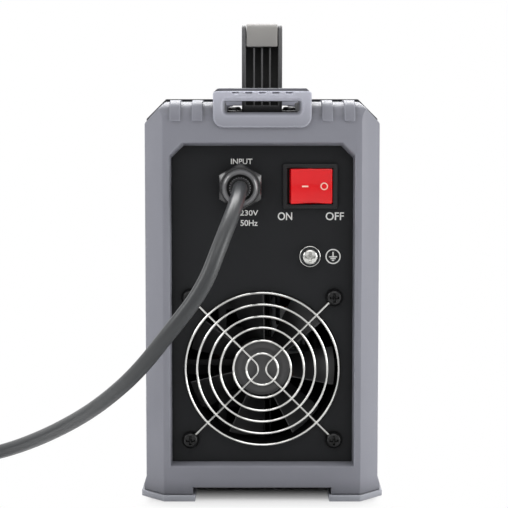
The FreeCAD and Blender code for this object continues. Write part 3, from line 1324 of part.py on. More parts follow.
def wire_supply():
    """Spool of welding wire on its hub, held by a screwed cap."""
    hub = Piece("spool_hub", DIVIDER_FACE, "spool_y", "spool_z", TO_RIGHT)
    cap_start = "(hub_flange + 2 * fit_gap + spool_width)"
    hub.revolve(polygon(
        ("0", "0"),
        ("hub_flange_radius", "0"),
        ("hub_flange_radius", "hub_flange"),
        ("spool_bore - run_gap", "hub_flange"),
        ("spool_bore - run_gap", f"{cap_start} - fit_gap"),
        ("spool_bore / 2", f"{cap_start} - fit_gap"),
        ("spool_bore / 2", f"{cap_start} + retainer_height - sheet"),
        ("0", f"{cap_start} + retainer_height - sheet"),
    ))
    spool = Piece("wire_spool", SPOOL_X, "spool_y", "spool_z", TO_RIGHT)
    spool.revolve(polygon(
        ("spool_bore", "0"),
        ("spool_radius", "0"),
        ("spool_radius", "spool_flange"),
        ("spool_core", "spool_flange"),
        ("spool_core", "spool_width - spool_flange"),
        ("spool_radius", "spool_width - spool_flange"),
        ("spool_radius", "spool_width"),
        ("spool_bore", "spool_width"),
    ))
    window = spool.pocket("XY_Plane", "0", "spool_width", circle(
        "0", "(spool_bore + spool_core) / 2", "(spool_core - spool_bore) / 4"))
    spool.polar([window], "Z_Axis", SPOOL_WINDOWS)
    wound = Piece("wound_wire", SPOOL_X, "spool_y", "spool_z", TO_RIGHT)
    wound.revolve(rectangle(
        "spool_core", "wound_radius", "spool_flange", "spool_width - spool_flange"))
    cap = Piece("spool_retainer", DIVIDER_FACE, "spool_y", "spool_z", TO_RIGHT)
    cap.revolve(polygon(
        ("spool_bore / 2 + run_gap", cap_start),
        ("retainer_radius", cap_start),
        ("retainer_radius", f"{cap_start} + retainer_height / 2"),
        ("retainer_radius * 0.8", f"{cap_start} + retainer_height"),
        ("0", f"{cap_start} + retainer_height"),
        ("0", f"{cap_start} + retainer_height - sheet + run_gap"),
        ("spool_bore / 2 + run_gap", f"{cap_start} + retainer_height - sheet + run_gap"),
    ))
    notch = cap.pocket("XY_Plane", cap_start, f"{cap_start} + retainer_height", circle(
        "retainer_radius", "0", "retainer_height / 2"))
    cap.polar([notch], "Z_Axis", RETAINER_NOTCHES)


def wire_feeder():
    """Cast plate with drive roll, hinged pressure arm and roll, swing-away tension stud and guides."""
    plate = Piece("feeder_plate")
    plate.pad("YZ_Plane", DIVIDER_FACE, PLATE_FACE, rectangle(
        "plate_rear", "plate_front", "plate_low", "plate_high", "guide_radius"))
    for rear in ("plate_rear", "plate_front - guide_block_length"):
        plate.pad("YZ_Plane", PLATE_FACE, "wire_x + guide_block_half", rectangle(
            rear, f"{rear} + guide_block_length", "wire_z - guide_block_half", "wire_z + guide_block_half"))
    plate.pocket("XZ_Plane", "plate_rear", "plate_front", circle("wire_x", "wire_z", "guide_radius"))
    plate.pocket("YZ_Plane", DIVIDER_FACE, PLATE_FACE, circle(
        "roll_y", DRIVE_Z, "drive_shaft_radius + run_gap"))
    arm_low = f"({PLATE_FACE} + fit_gap)"
    for pin_end, pin_y, pin_z in ((f"{arm_low} + arm_thickness + sheet", "arm_pivot_y", "arm_pivot_z"),
                                  ("stud_x + stud_radius * 2", "stud_y", "stud_z")):
        plate.pad("YZ_Plane", PLATE_FACE, pin_end, circle(pin_y, pin_z, "arm_pin_radius"))
    drive_x = "(wire_x - drive_width / 2)"
    shaft = Piece("drive_shaft", "divider_x", "roll_y", DRIVE_Z, TO_RIGHT)
    shaft.pad("XY_Plane", "-motor_length / 4", f"{drive_x} + drive_width - divider_x + sheet", circle(
        "0", "0", "drive_shaft_radius"))
    roll = Piece("drive_roll", drive_x, "roll_y", DRIVE_Z, TO_RIGHT)
    roll.revolve(polygon(
        ("drive_shaft_radius", "0"),
        ("drive_radius", "0"),
        ("drive_radius", "drive_width / 2 - sheet"),
        ("drive_radius - sheet / 2", "drive_width / 2"),
        ("drive_radius", "drive_width / 2 + sheet"),
        ("drive_radius", "drive_width"),
        ("drive_shaft_radius", "drive_width"),
    ))
    motor = Piece("feeder_motor", "divider_x", "roll_y", DRIVE_Z, TO_RIGHT)
    motor.revolve(polygon(
        ("drive_shaft_radius + run_gap", "0"),
        ("motor_radius", "0"),
        ("motor_radius", "-motor_length / 3"),
        ("motor_radius * 0.85", "-motor_length / 3"),
        ("motor_radius * 0.85", "-motor_length", "sheet"),
        ("0", "-motor_length"),
        ("0", "-motor_length / 4 - fit_gap"),
        ("drive_shaft_radius + run_gap", "-motor_length / 4 - fit_gap"),
    ))
    arm = Piece("pressure_arm")
    arm_high = f"({arm_low} + arm_thickness)"
    arm.pad("YZ_Plane", arm_low, arm_high, polygon(
        ("arm_pivot_y + 2 * arm_pin_radius", "arm_pivot_z - arm_lift", "arm_pin_radius"),
        ("arm_pivot_y + 2 * arm_pin_radius", "arm_pivot_z + arm_lift", "arm_pin_radius"),
        ("arm_tail_y", "arm_pivot_z + arm_lift"),
        ("arm_tail_y", "arm_pivot_z - sheet"),
        ("roll_y - 2 * pinch_pin_radius", "arm_pivot_z - sheet"),
        ("roll_y - 2 * pinch_pin_radius", f"{PINCH_Z} - 2 * pinch_pin_radius", "pinch_pin_radius"),
        ("roll_y + 2 * pinch_pin_radius", f"{PINCH_Z} - 2 * pinch_pin_radius", "pinch_pin_radius"),
    ))
    arm.pad("YZ_Plane", arm_high, "stud_x + 3 * stud_radius", rectangle(
        "arm_tail_y", "stud_y + 3 * stud_radius", "arm_pivot_z - sheet", "arm_pivot_z + arm_lift"))
    arm.pocket("XY_Plane", "arm_pivot_z - 2 * sheet", "arm_pivot_z + 2 * arm_lift", rectangle(
        "stud_x - stud_radius - sheet / 2", "stud_x + stud_radius + sheet / 2",
        "arm_tail_y - sheet", "stud_y + stud_radius + sheet / 2"))
    arm.pocket("YZ_Plane", arm_low, arm_high, circle("arm_pivot_y", "arm_pivot_z", "arm_pin_radius + run_gap"))
    pinch_x = f"({arm_high} + fit_gap)"
    arm.pad("YZ_Plane", arm_high, f"{pinch_x} + pinch_width + sheet", circle(
        "roll_y", PINCH_Z, "pinch_pin_radius"))
    pinch = Piece("pressure_roll", pinch_x, "roll_y", PINCH_Z, TO_RIGHT)
    pinch.revolve(polygon(
        ("pinch_pin_radius + run_gap", "0"),
        ("pinch_radius", "0", "sheet / 3"),
        ("pinch_radius", "pinch_width", "sheet / 3"),
        ("pinch_pin_radius + run_gap", "pinch_width"),
    ))
    guides = Piece("wire_guides")
    for low, high in (("plate_rear - 2 * guide_radius", "roll_y - drive_radius - guide_radius"),
                      ("roll_y + drive_radius + guide_radius", "plate_front + guide_radius")):
        guides.pad("XZ_Plane", low, high, circle("wire_x", "wire_z", "guide_radius"), circle(
            "wire_x", "wire_z", "guide_bore"))


def tension_unit():
    """Swing-away stud with its spring and knob, shown swung clear of the arm."""
    lean = FreeCAD.Rotation(X_AXIS, size("stud_angle"))
    pieces = []
    stud = Piece("tension_stud", "stud_x", "stud_y", "stud_z", lean)
    stud.pad("XY_Plane", "stud_eye_radius - sheet", "stud_length", circle("0", "0", "stud_radius"))
    half_eye = "(stud_radius + fit_gap)"
    stud.pad("YZ_Plane", f"-{half_eye}", half_eye, circle("0", "0", "stud_eye_radius"))
    stud.pocket("YZ_Plane", f"-{half_eye}", half_eye, circle("0", "0", "arm_pin_radius + run_gap"))
    pieces.append(stud)
    spring = Piece("tension_spring", "stud_x", "stud_y", "stud_z", lean)
    spring.revolve(rectangle(
        "stud_radius + fit_gap / 2", "stud_radius + 1.2", "spring_low", "spring_high"))
    pieces.append(spring)
    knob = Piece("tension_knob", "stud_x", "stud_y", "stud_z", lean)
    knob.revolve(polygon(
        ("stud_radius + run_gap", "spring_high"),
        ("tension_knob_radius", "spring_high"),
        ("tension_knob_radius", "spring_high + tension_knob_height", "sheet"),
        ("0", "spring_high + tension_knob_height"),
        ("0", "stud_length + fit_gap"),
        ("stud_radius + run_gap", "stud_length + fit_gap"),
    ))
    flute = knob.pocket("XY_Plane", "spring_high + 2 * sheet", "spring_high + 2 * tension_knob_height", circle(
        "tension_knob_radius", "0", "sheet"))
    knob.polar([flute], "Z_Axis", TENSION_FLUTES)
    pieces.append(knob)
    for piece in pieces:
        piece.body.setExpression("Placement.Rotation.Angle", cells("stud_angle"))


def power_electronics():
    """Finned heat sinks that carry the inverter board, its capacitors, the transformer and choke."""
    start = f"({SPIGOT_END} + fit_gap)"
    sinks = Piece("heat_sinks")
    for offset in ("0", "sink_width + sink_gap"):
        x = f"(power_left + {offset})"
        sinks.pad("XZ_Plane", start, f"{start} + sink_length", rectangle(
            x, f"{x} + sink_width", TRAY_TOP, SINK_TOP))
        gap = f"((sink_height - sink_base) / {2 * SINK_SLOTS + 1})"
        slot = sinks.pocket("XZ_Plane", start, f"{start} + sink_length", rectangle(
            f"{x} + sink_base", f"{x} + sink_width", f"{TRAY_TOP} + {gap}", f"{TRAY_TOP} + 2 * {gap}"))
        sinks.grid([slot], "Z_Axis", f"{2 * SINK_SLOTS - 2} * {gap}", SINK_SLOTS)
    board_top = f"({SINK_TOP} + board_thickness)"
    board = Piece("inverter_board")
    board.pad("XY_Plane", SINK_TOP, board_top, rectangle(
        "power_left", "power_right", start, f"{start} + board_length"))
    caps = Piece("capacitors", "power_middle", f"{start} + capacitor_pitch / 2", board_top)
    can = caps.revolve(polygon(
        ("0", "0"),
        ("capacitor_radius", "0"),
        ("capacitor_radius", "capacitor_height", "sheet"),
        ("0", "capacitor_height"),
    ))
    caps.grid([can], "Y_Axis", f"{CAPACITORS - 1} * capacitor_pitch", CAPACITORS)
    core = Piece("transformer")
    core_y = f"({start} + sink_length + sink_gap)"
    core.pad("YZ_Plane", "power_left", "power_right - sink_gap", rectangle(
        core_y, f"{core_y} + core_length", TRAY_TOP, f"{TRAY_TOP} + core_height"))
    winding = "(core_height / 4)"
    core.pocket("YZ_Plane", "power_left", f"power_left + {winding}", rectangle(
        f"{core_y} + {winding}", f"{core_y} + core_length - {winding}",
        f"{TRAY_TOP} + {winding}", f"{TRAY_TOP} + core_height - {winding}"))
    choke_y = f"({core_y} + core_length + sink_gap + choke_radius)"
    choke = Piece("output_choke", "power_middle", choke_y, TRAY_TOP)
    choke.revolve(rectangle("choke_bore", "choke_radius", "0", "choke_height", "guide_radius"))


# Way of the cord from the gland's mouth down to the coil, as steps away from the mouth
CORD_ROUTE = [
    (0.0, 0.0, 0.0),
    (0.0, -16.3, 0.0),
    (-1.7, -39.3, -7.0),
    (-9.1, -59.7, -25.2),
    (-18.5, -69.5, -49.6),
    (-36.6, -68.1, -72.8),
    (-54.3, -55.6, -95.8),
    (-74.0, -32.8, -115.2),
    (-93.3, -5.4, -131.1),
    (-117.9, 27.8, -147.8),
    (-143.3, 54.0, -160.9),
    (-175.6, 74.8, -171.5),
    (-209.0, 84.2, -175.9),
    (-235.1, 84.2, -175.9),
]


def gland_mouth():
    return FreeCAD.Vector(size("gland_x"), size(f"{REAR_PANEL} - gland_reach - sheet"), size("gland_z"))


def coil_start():
    x = size("coil_x + 2 * cord_radius")
    y = size("coil_y - coil_outer")
    return FreeCAD.Vector(x, y, size("cord_radius + fit_gap"))


def rounded_path(points):
    """Straight runs joined by tangent arcs, each arc as large as its two runs allow."""
    share = 0.45
    edges = []
    here = points[0]
    radii = []
    for index in range(1, len(points) - 1):
        corner = points[index]
        back = points[index - 1] - corner
        onward = points[index + 1] - corner
        shorter = min(back.Length, onward.Length)
        back.normalize()
        onward.normalize()
        trim = share * shorter
        half_turn = (math.pi - back.getAngle(onward)) / 2
        radii.append(trim / math.tan(half_turn))
        enter = corner + back * trim
        leave = corner + onward * trim
        inward = (back + onward).normalize()
        middle = corner + inward * (radii[-1] / math.cos(half_turn) - radii[-1])
        edges.append(Part.LineSegment(here, enter).toShape())
        edges.append(Part.Arc(enter, middle, leave).toShape())
        here = leave
    edges.append(Part.LineSegment(here, points[-1]).toShape())
    print("cord bend radii", [round(radius, 1) for radius in radii])
    return Part.Wire(edges)


def swept_cord(label, path):
    """Round tube along a path, as one solid."""
    radius = size("cord_radius")
    first = path.OrderedEdges[0]
    start = first.valueAt(first.FirstParameter)
    heading = first.tangentAt(first.FirstParameter)
    section = Part.Wire([Part.Circle(start, heading, radius).toShape()])
    tube = Part.BRepOffsetAPI.MakePipeShell(path)
    tube.add(section, False, False)
    tube.build()
    tube.makeSolid()
    solid = tube.shape()
    expected = math.pi * radius * radius * path.Length
    print(label, "length", round(path.Length, 1), "volume ratio", round(solid.Volume / expected, 4))
    cord = doc.addObject("Part::Feature", label)
    cord.Label = label
    cord.Shape = solid
    cord.Placement = FreeCAD.Placement()
    subparts.append(cord)


def biarc(start, start_heading, end, end_heading):
    """Two arcs that join smoothly and leave and arrive along given headings."""
    across = end - start
    total = start_heading + end_heading
    spread = 2 * (1 - start_heading.dot(end_heading))
    reach = (math.sqrt(across.dot(total) ** 2 + spread * across.dot(across)) - across.dot(total)) / spread
    first_corner = start + start_heading * reach
    second_corner = end - end_heading * reach
    joint = (first_corner + second_corner) * 0.5
    edges = []
    for begin, corner, finish in ((start, first_corner, joint), (joint, second_corner, end)):
        inward = ((begin - corner).normalize() + (finish - corner).normalize()).normalize()
        half = (begin - corner).getAngle(finish - corner) / 2
        radius = (begin - corner).Length * math.tan(half)
        middle = corner + inward * (radius / math.sin(half) - radius)
        edges.append(Part.Arc(begin, middle, finish).toShape())
    return edges


def coil_path():
    """Flat coil in two layers: in, up a layer on the inmost half turn, and out again to the plug."""
    step = size("coil_pitch") / 2
    radius = size("coil_outer")
    level = size("cord_radius + fit_gap")
    plug_level = size("plug_radius + fit_gap")
    inward_halves = 5
    outward_halves = 6
    stops = [(radius, level)]
    for _ in range(inward_halves - 1):
        radius -= step
        stops.append((radius, level))
    radius -= step
    stops.append((radius - size("coil_inset"), level))
    level += size("coil_layer")
    stops.append((radius - size("coil_inset"), level))
    for _ in range(outward_halves - 1):
        radius += step
        stops.append((radius, level))
    stops.append((radius + 2 * step, plug_level))
    centre = FreeCAD.Vector(size("coil_x"), size("coil_y"), 0)
    points = []
    for index, (reach, height) in enumerate(stops):
        sign = -1 if index % 2 == 0 else 1
        points.append((centre + FreeCAD.Vector(0, sign * reach, height), FreeCAD.Vector(sign, 0, 0)))
    edges = [Part.LineSegment(points[0][0] - points[0][1] * size("2 * cord_radius"), points[0][0]).toShape()]
    for (start, start_heading), (end, end_heading) in zip(points, points[1:]):
        edges.extend(biarc(start, start_heading, end, end_heading))
    last, heading = points[-1]
    edges.append(Part.LineSegment(last, last + heading * size("2 * cord_radius")).toShape())
    return Part.Wire(edges)


def least_gap(path):
    """Least gap of the coil's tube to itself, between points one turn or more apart."""
    spacing = 4.0
    count = int(path.Length / spacing)
    points = path.discretize(count)
    near_turn = int(math.pi * size("coil_outer - 3 * coil_pitch") / spacing)
    gap = min((points[first] - points[second]).Length
              for first in range(count) for second in range(first + near_turn, count))
    return gap - 2 * size("cord_radius")


def mains_cord():
    mouth = gland_mouth()
    whole = coil_start() - mouth
    stretch = [whole[axis] / CORD_ROUTE[-1][axis] for axis in range(3)]
    points = []
    for step in CORD_ROUTE:
        points.append(mouth + FreeCAD.Vector(*(step[axis] * stretch[axis] for axis in range(3))))
    swept_cord("mains_cord", rounded_path(points))
    path = coil_path()
    swept_cord("mains_cord_coil", path)
    print("least gap of the coil to itself", round(least_gap(path), 2))


def mains_plug():
    """Round moulded plug with two pins, lying where the coil ends."""
    end_y = "(coil_y - coil_outer - coil_pitch)"
    place_x = "coil_x - 2 * cord_radius"
    body = Piece("mains_plug", place_x, end_y, "plug_radius + fit_gap", TO_LEFT)
    body.revolve(polygon(
        ("0", "0"),
        ("cord_radius + sheet", "0"),
        ("plug_neck", "plug_length * 0.35"),
        ("plug_radius * 0.8", "plug_length * 0.5", "plug_neck / 2"),
        ("plug_radius", "plug_length * 0.75", "plug_neck / 2"),
        ("plug_radius", "plug_length", "sheet"),
        ("0", "plug_length"),
    ))
    pins = Piece("plug_pins", place_x, f"{end_y} - plug_pin_spacing / 2", "plug_radius + fit_gap", TO_LEFT)
    pin = pins.revolve(polygon(
        ("0", "plug_length"),
        ("plug_pin_radius", "plug_length"),
        ("plug_pin_radius", "plug_length + plug_pin_length", "plug_pin_radius / 2"),
        ("0", "plug_length + plug_pin_length"),
    ))
    pins.grid([pin], "Y_Axis", "plug_pin_spacing", 2)


bezel("rear_bezel", UPRIGHT)
bezel("front_bezel", HALF_TURN)
rear_panel()
front_panel()
top_cover()
base_tray()
divider_wall()
side_door()
hinge_leaves()
hinge_pins()
door_latch()
handle_frame()
handle_grip()
pan_screws("handle_screws", "-handle_screw_x", HANDLE_SCREW_Y, FLANGE_TOP, UPRIGHT,
           "screw_head_radius", "screw_head_height", "fan_screw_radius", "flange_thickness + 3 * sheet",
           "X_Axis", "2 * handle_screw_x", "Y_Axis", f"-2 * {HANDLE_SCREW_Y}")
foot_pads()
fan_frame()
fan_rotor()
fan_guard()
pan_screws("fan_screws", "-fan_hole_spacing / 2", f"{EYELET_Y} - guard_eyelet_wire - fit_gap / 3",
           "fan_z - fan_hole_spacing / 2", TO_REAR,
           "fan_head_radius", "screw_head_height", "fan_screw_radius", "fan_depth - panel_thickness",
           "X_Axis", "fan_hole_spacing", "Y_Axis", "fan_hole_spacing")
mains_gland()
mains_switch()
earth_stud()
front_controls()
torch_connector()
pan_screws("torch_screws", "wire_x - torch_screw_spacing / 2", f"{FRONT_PANEL} + panel_thickness * 2",
           "wire_z + torch_screw_spacing / 2", TO_FRONT,
           "screw_head_radius * 0.8", "screw_head_height", "fan_screw_radius", "panel_thickness * 5",
           "X_Axis", "torch_screw_spacing", "Y_Axis", "torch_screw_spacing")
output_sockets()
wire_supply()
wire_feeder()
tension_unit()
power_electronics()
mains_cord()
mains_plug()
doc.recompute()

for item in doc.Objects:
    if {"Invalid", "Error"} & set(item.State):
        raise RuntimeError(f"{item.Label} failed: {item.State}")
for item in subparts:
    shape = item.Shape
    if shape.isNull() or not shape.isValid() or not shape.Solids:
        raise RuntimeError(f"{item.Label} has no valid solid")

os.makedirs("parts", exist_ok=True)
for item in subparts:
    item.Shape.exportStep(f"parts/{item.Label}.step")
print(len(subparts), "sub-parts")
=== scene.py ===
"""Look of a compact inverter MIG welding machine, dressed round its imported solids.

The frame is in metres: +X to the right seen from the rear, +Y towards the front panel, +Z up.
"""

from __future__ import annotations

import json
import logging
import math
from dataclasses import dataclass
from enum import Enum
from typing import Sequence

import bmesh
import bpy
from mathutils import Matrix, Vector

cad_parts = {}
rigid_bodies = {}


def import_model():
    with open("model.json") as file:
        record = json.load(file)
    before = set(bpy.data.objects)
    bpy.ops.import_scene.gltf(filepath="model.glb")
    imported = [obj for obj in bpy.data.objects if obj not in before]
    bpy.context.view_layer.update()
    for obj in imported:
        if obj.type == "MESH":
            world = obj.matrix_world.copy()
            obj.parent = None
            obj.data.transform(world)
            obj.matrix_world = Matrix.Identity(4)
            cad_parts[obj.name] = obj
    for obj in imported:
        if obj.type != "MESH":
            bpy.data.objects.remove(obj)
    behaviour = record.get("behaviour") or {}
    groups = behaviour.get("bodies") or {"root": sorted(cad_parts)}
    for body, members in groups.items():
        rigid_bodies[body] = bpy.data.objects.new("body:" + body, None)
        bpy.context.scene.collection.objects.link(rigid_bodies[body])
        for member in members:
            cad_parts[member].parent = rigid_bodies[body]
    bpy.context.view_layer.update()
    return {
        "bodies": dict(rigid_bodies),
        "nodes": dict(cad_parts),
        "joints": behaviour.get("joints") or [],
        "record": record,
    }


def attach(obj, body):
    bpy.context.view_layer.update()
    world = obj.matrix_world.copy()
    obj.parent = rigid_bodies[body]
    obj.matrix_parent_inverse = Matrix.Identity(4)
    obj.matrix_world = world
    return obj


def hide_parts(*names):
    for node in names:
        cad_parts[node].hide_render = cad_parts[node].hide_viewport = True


LOG = logging.getLogger("welder")
MM = 0.001
PRINT_DEPTH = 0.1
LETTER_DEPTH = 0.05
LETTER_WEIGHT = 0.012
JOIN_REACH = 1e-7
Point = tuple[float, float, float]


class Facing(Enum):
    """Which way a flat mark or a turned piece faces."""

    REAR = Matrix.Rotation(math.radians(90), 4, "X")
    FRONT = Matrix.Rotation(math.radians(180), 4, "Z") @ Matrix.Rotation(math.radians(90), 4, "X")
    RIGHT = Matrix.Rotation(math.radians(90), 4, "Z") @ Matrix.Rotation(math.radians(90), 4, "X")
    INWARD = Matrix.Rotation(math.radians(-90), 4, "X")
    UP = Matrix.Identity(4)


def linear(colour: Sequence[float]) -> tuple[float, float, float, float]:
    """Turn a screen colour into scene light values.

    Args:
        colour: Red, green and blue from 0 to 255.

    Returns:
        Linear red, green, blue and an alpha of one.
    """
    parts = []
    for value in colour:
        share = value / 255
        parts.append(share / 12.92 if share <= 0.04045 else ((share + 0.055) / 1.055) ** 2.4)
    return (*parts, 1.0)


@dataclass(frozen=True)
class LoopTone:
    """Where the strap loops stand, in metres, and how the painted light and shade on them is laid.

    Args:
        foot: Height where the painted light starts.
        bar: Height where it is full.
        half: Half of a loop's width.
        face: Distance of a loop's face from the middle along Y.
        bezel_face: Distance of a bezel's face from the middle along Y.
        bezel_top: Height past which only the loops rise.
        crown: Height where a loop's top edge starts.
        crown_dim: Share by which painted shade darkens that edge.
        lip_gain: How much stronger the painted highlight on edges is at a loop's foot.
    """

    foot: float = 0.211
    bar: float = 0.234
    half: float = 0.0285
    face: float = 0.1512
    bezel_face: float = 0.1501
    bezel_top: float = 0.2292
    crown: float = 0.2348
    crown_dim: float = 0.75
    lip_gain: float = 2.4


class SharedEffects:
    """Shader node groups that several finishes use.

    Hollows, which get painted shade, are looked for within hollow_reach and edges, which get a painted
    highlight, within edge_reach, both in metres. An edge's painted highlight grows from nothing to full
    as its normal's likeness falls through edge_range.
    """

    hollow_reach = 0.014
    edge_reach = 0.0014
    edge_range = (0.99, 0.87)
    ray_samples = 6
    least_light = 0.05

    def __init__(self) -> None:
        """Build each group once."""
        self.loops = LoopTone()
        self.tone = self._tone()
        self.grain = self._grain()

    @staticmethod
    def _group(name: str, inputs: dict[str, float | tuple], outputs: dict[str, str]) -> bpy.types.NodeTree:
        """Make an empty group with named sockets.

        Args:
            name: Name of the group.
            inputs: Socket names with their default values, a tuple for a colour.
            outputs: Socket names with their types.

        Returns:
            The group's node tree, with its input and output nodes.
        """
        tree = bpy.data.node_groups.new(name, "ShaderNodeTree")
        for socket, value in inputs.items():
            kind = "NodeSocketColor" if isinstance(value, tuple) else "NodeSocketFloat"
            tree.interface.new_socket(socket, in_out="INPUT", socket_type=kind).default_value = value
        for socket, kind in outputs.items():
            tree.interface.new_socket(socket, in_out="OUTPUT", socket_type=kind)
        tree.nodes.new("NodeGroupInput")
        tree.nodes.new("NodeGroupOutput")
        return tree

    def _tone(self) -> bpy.types.NodeTree:
        """Slow changes of colour and gloss over a surface, with painted highlights on edges, painted shade in
        hollows and painted light on the strap loops.
        """
        tree = self._group(
            "surface tone and painted light",
            {"Colour": (0.5, 0.5, 0.5, 1.0), "Variation": 0.03, "Scale": 20.0, "Roughness": 0.5,
             "Gloss Change": 0.08, "Painted Edge Highlight": 0.0, "Painted Hollow Shade": 0.0, "Painted Loop Light": 0.0},
            {"Colour": "NodeSocketColor", "Roughness": "NodeSocketFloat"},
        )
        given, result = tree.nodes["Group Input"], tree.nodes["Group Output"]
        place = tree.nodes.new("ShaderNodeTexCoord")
        noise = tree.nodes.new("ShaderNodeTexNoise")
        noise.inputs["Detail"].default_value = 3.0
        tree.links.new(place.outputs["Object"], noise.inputs["Vector"])
        tree.links.new(given.outputs["Scale"], noise.inputs["Scale"])
        centred = self._math(tree, "SUBTRACT", noise.outputs["Fac"], 0.5)
        change = self._math(tree, "MULTIPLY", centred, given.outputs["Variation"])
        # Painted highlight: the colour is lightened along edges, where the rounded normal parts from the true
        # one.
        shape = tree.nodes.new("ShaderNodeNewGeometry")
        rounded = tree.nodes.new("ShaderNodeBevel")
        rounded.samples = self.ray_samples
        rounded.inputs["Radius"].default_value = self.edge_reach
        alike = tree.nodes.new("ShaderNodeVectorMath")
        alike.operation = "DOT_PRODUCT"
        tree.links.new(rounded.outputs["Normal"], alike.inputs[0])
        tree.links.new(shape.outputs["Normal"], alike.inputs[1])
        edge = self._ramp(tree, alike.outputs["Value"], *self.edge_range)
        # Painted light on the strap loops: lighter from foot to bar, with a stronger painted highlight on
        # edges at the foot.
        loop, rise, cap = self._loop_masks(tree, place, given.outputs["Painted Loop Light"])
        low = self._math(tree, "MULTIPLY", loop, self._math(tree, "SUBTRACT", 1.0, rise))
        edge_highlight_gain = self._math(tree, "MULTIPLY_ADD", low, self.loops.lip_gain, given.outputs["Painted Edge Highlight"])
        edge_highlight_factor = self._math(tree, "MULTIPLY_ADD", edge, edge_highlight_gain, 1.0)
        # Painted shade: the colour darkens in hollows and corners found by occlusion rays, except on the
        # strap loops.
        hollow = tree.nodes.new("ShaderNodeAmbientOcclusion")
        hollow.samples = self.ray_samples
        hollow.inputs["Distance"].default_value = self.hollow_reach
        closed = self._math(tree, "SUBTRACT", 1.0, hollow.outputs["AO"])
        elsewhere = self._math(tree, "MULTIPLY", closed, self._math(tree, "SUBTRACT", 1.0, loop))
        shade = self._math(tree, "MULTIPLY", elsewhere, given.outputs["Painted Hollow Shade"])
        drift = self._math(tree, "MULTIPLY_ADD", change, 2.0, edge_highlight_factor)
        kept = self._math(tree, "MULTIPLY_ADD", shade, -1.0, 1.0)
        # Painted light lifts the strap loops, and painted shade dims their top edge.
        crest = self._math(tree, "MULTIPLY", self._math(tree, "MULTIPLY_ADD", loop, rise, 1.0), cap)
        raised = self._math(tree, "MULTIPLY", drift, crest)
        lit = self._math(tree, "MAXIMUM", kept, self.least_light)
        factor = self._math(tree, "MULTIPLY", raised, lit)
        scaled = tree.nodes.new("ShaderNodeVectorMath")
        scaled.operation = "SCALE"
        tree.links.new(given.outputs["Colour"], scaled.inputs[0])
        tree.links.new(factor, scaled.inputs["Scale"])
        tree.links.new(scaled.outputs[0], result.inputs["Colour"])
        gloss = self._math(tree, "MULTIPLY_ADD", centred, given.outputs["Gloss Change"],
                           given.outputs["Roughness"])
        tree.links.new(gloss, result.inputs["Roughness"])
        return tree

    def _loop_masks(self, tree: bpy.types.NodeTree, place: bpy.types.Node,
                    amount: bpy.types.NodeSocket) -> tuple[bpy.types.NodeSocket, ...]:
        """Masks for the painted light and shade on the strap loops.

        Args:
            tree: Tree that gets the nodes.
            place: Texture coordinates.
            amount: How much of the masks counts.

        Returns:
            Three sockets: the amount inside a loop, its rise from foot to bar, and a factor of painted shade
            that dims its top edge.
        """
        zone = self.loops
        sides = tree.nodes.new("ShaderNodeSeparateXYZ")
        tree.links.new(place.outputs["Object"], sides.inputs[0])
        across, along, height = sides.outputs
        rise = self._ramp(tree, height, zone.foot, zone.bar)
        proud = self._ramp(tree, self._math(tree, "ABSOLUTE", along), zone.bezel_face, zone.face)
        above = self._math(tree, "GREATER_THAN", height, zone.bezel_top)
        outer = self._math(tree, "MAXIMUM", proud, above)
        inside = self._math(tree, "LESS_THAN", self._math(tree, "ABSOLUTE", across), zone.half)
        loop = self._math(tree, "MULTIPLY", self._math(tree, "MULTIPLY", outer, inside), amount)
        crown = self._math(tree, "MULTIPLY", self._math(tree, "GREATER_THAN", height, zone.crown), loop)
        return loop, rise, self._math(tree, "MULTIPLY_ADD", crown, -zone.crown_dim, 1.0)

    @staticmethod
    def _ramp(tree: bpy.types.NodeTree, value: bpy.types.NodeSocket, start: float,
              end: float) -> bpy.types.NodeSocket:
        """Add a node that goes from nothing to one between two values.

        Args:
            tree: Tree that gets the node.
            value: What is measured.
            start: Value where the ramp is nothing.
            end: Value where it is one.

        Returns:
            The node's output.
        """
        node = tree.nodes.new("ShaderNodeMapRange")
        node.inputs["From Min"].default_value = start
        node.inputs["From Max"].default_value = end
        tree.links.new(value, node.inputs["Value"])
        return node.outputs["Result"]

    def _grain(self) -> bpy.types.NodeTree:
        """Fine moulded or powdered texture."""
        tree = self._group("fine grain", {"Scale": 900.0, "Pits": 0.5, "Across": 1.0},
                           {"Height": "NodeSocketFloat"})
        given, result = tree.nodes["Group Input"], tree.nodes["Group Output"]
        place = tree.nodes.new("ShaderNodeTexCoord")
        noise = tree.nodes.new("ShaderNodeTexNoise")
        pits = tree.nodes.new("ShaderNodeTexVoronoi")
        drawn = tree.nodes.new("ShaderNodeVectorMath")
        drawn.operation = "MULTIPLY"
        stretch = tree.nodes.new("ShaderNodeCombineXYZ")
        tree.links.new(given.outputs["Across"], stretch.inputs["X"])
        stretch.inputs["Y"].default_value = 1.0
        stretch.inputs["Z"].default_value = 1.0
        tree.links.new(place.outputs["Object"], drawn.inputs[0])
        tree.links.new(stretch.outputs[0], drawn.inputs[1])
        for texture in (noise, pits):
            tree.links.new(drawn.outputs[0], texture.inputs["Vector"])
            tree.links.new(given.outputs["Scale"], texture.inputs["Scale"])
        low = self._math(tree, "MULTIPLY", pits.outputs["Distance"], given.outputs["Pits"])
        height = self._math(tree, "ADD", noise.outputs["Fac"], low)
        tree.links.new(height, result.inputs["Height"])
        return tree

    @staticmethod
    def _math(tree: bpy.types.NodeTree, operation: str, *values: object) -> bpy.types.NodeSocket:
        """Add a math node.

        Args:
            tree: Tree that gets the node.
            operation: What the node does.
            values: Sockets or numbers, in order.

        Returns:
            The node's output.
        """
        node = tree.nodes.new("ShaderNodeMath")
        node.operation = operation
        for socket, value in zip(node.inputs, values):
            if isinstance(value, bpy.types.NodeSocket):
                tree.links.new(value, socket)
            else:
                socket.default_value = value
        return node.outputs[0]


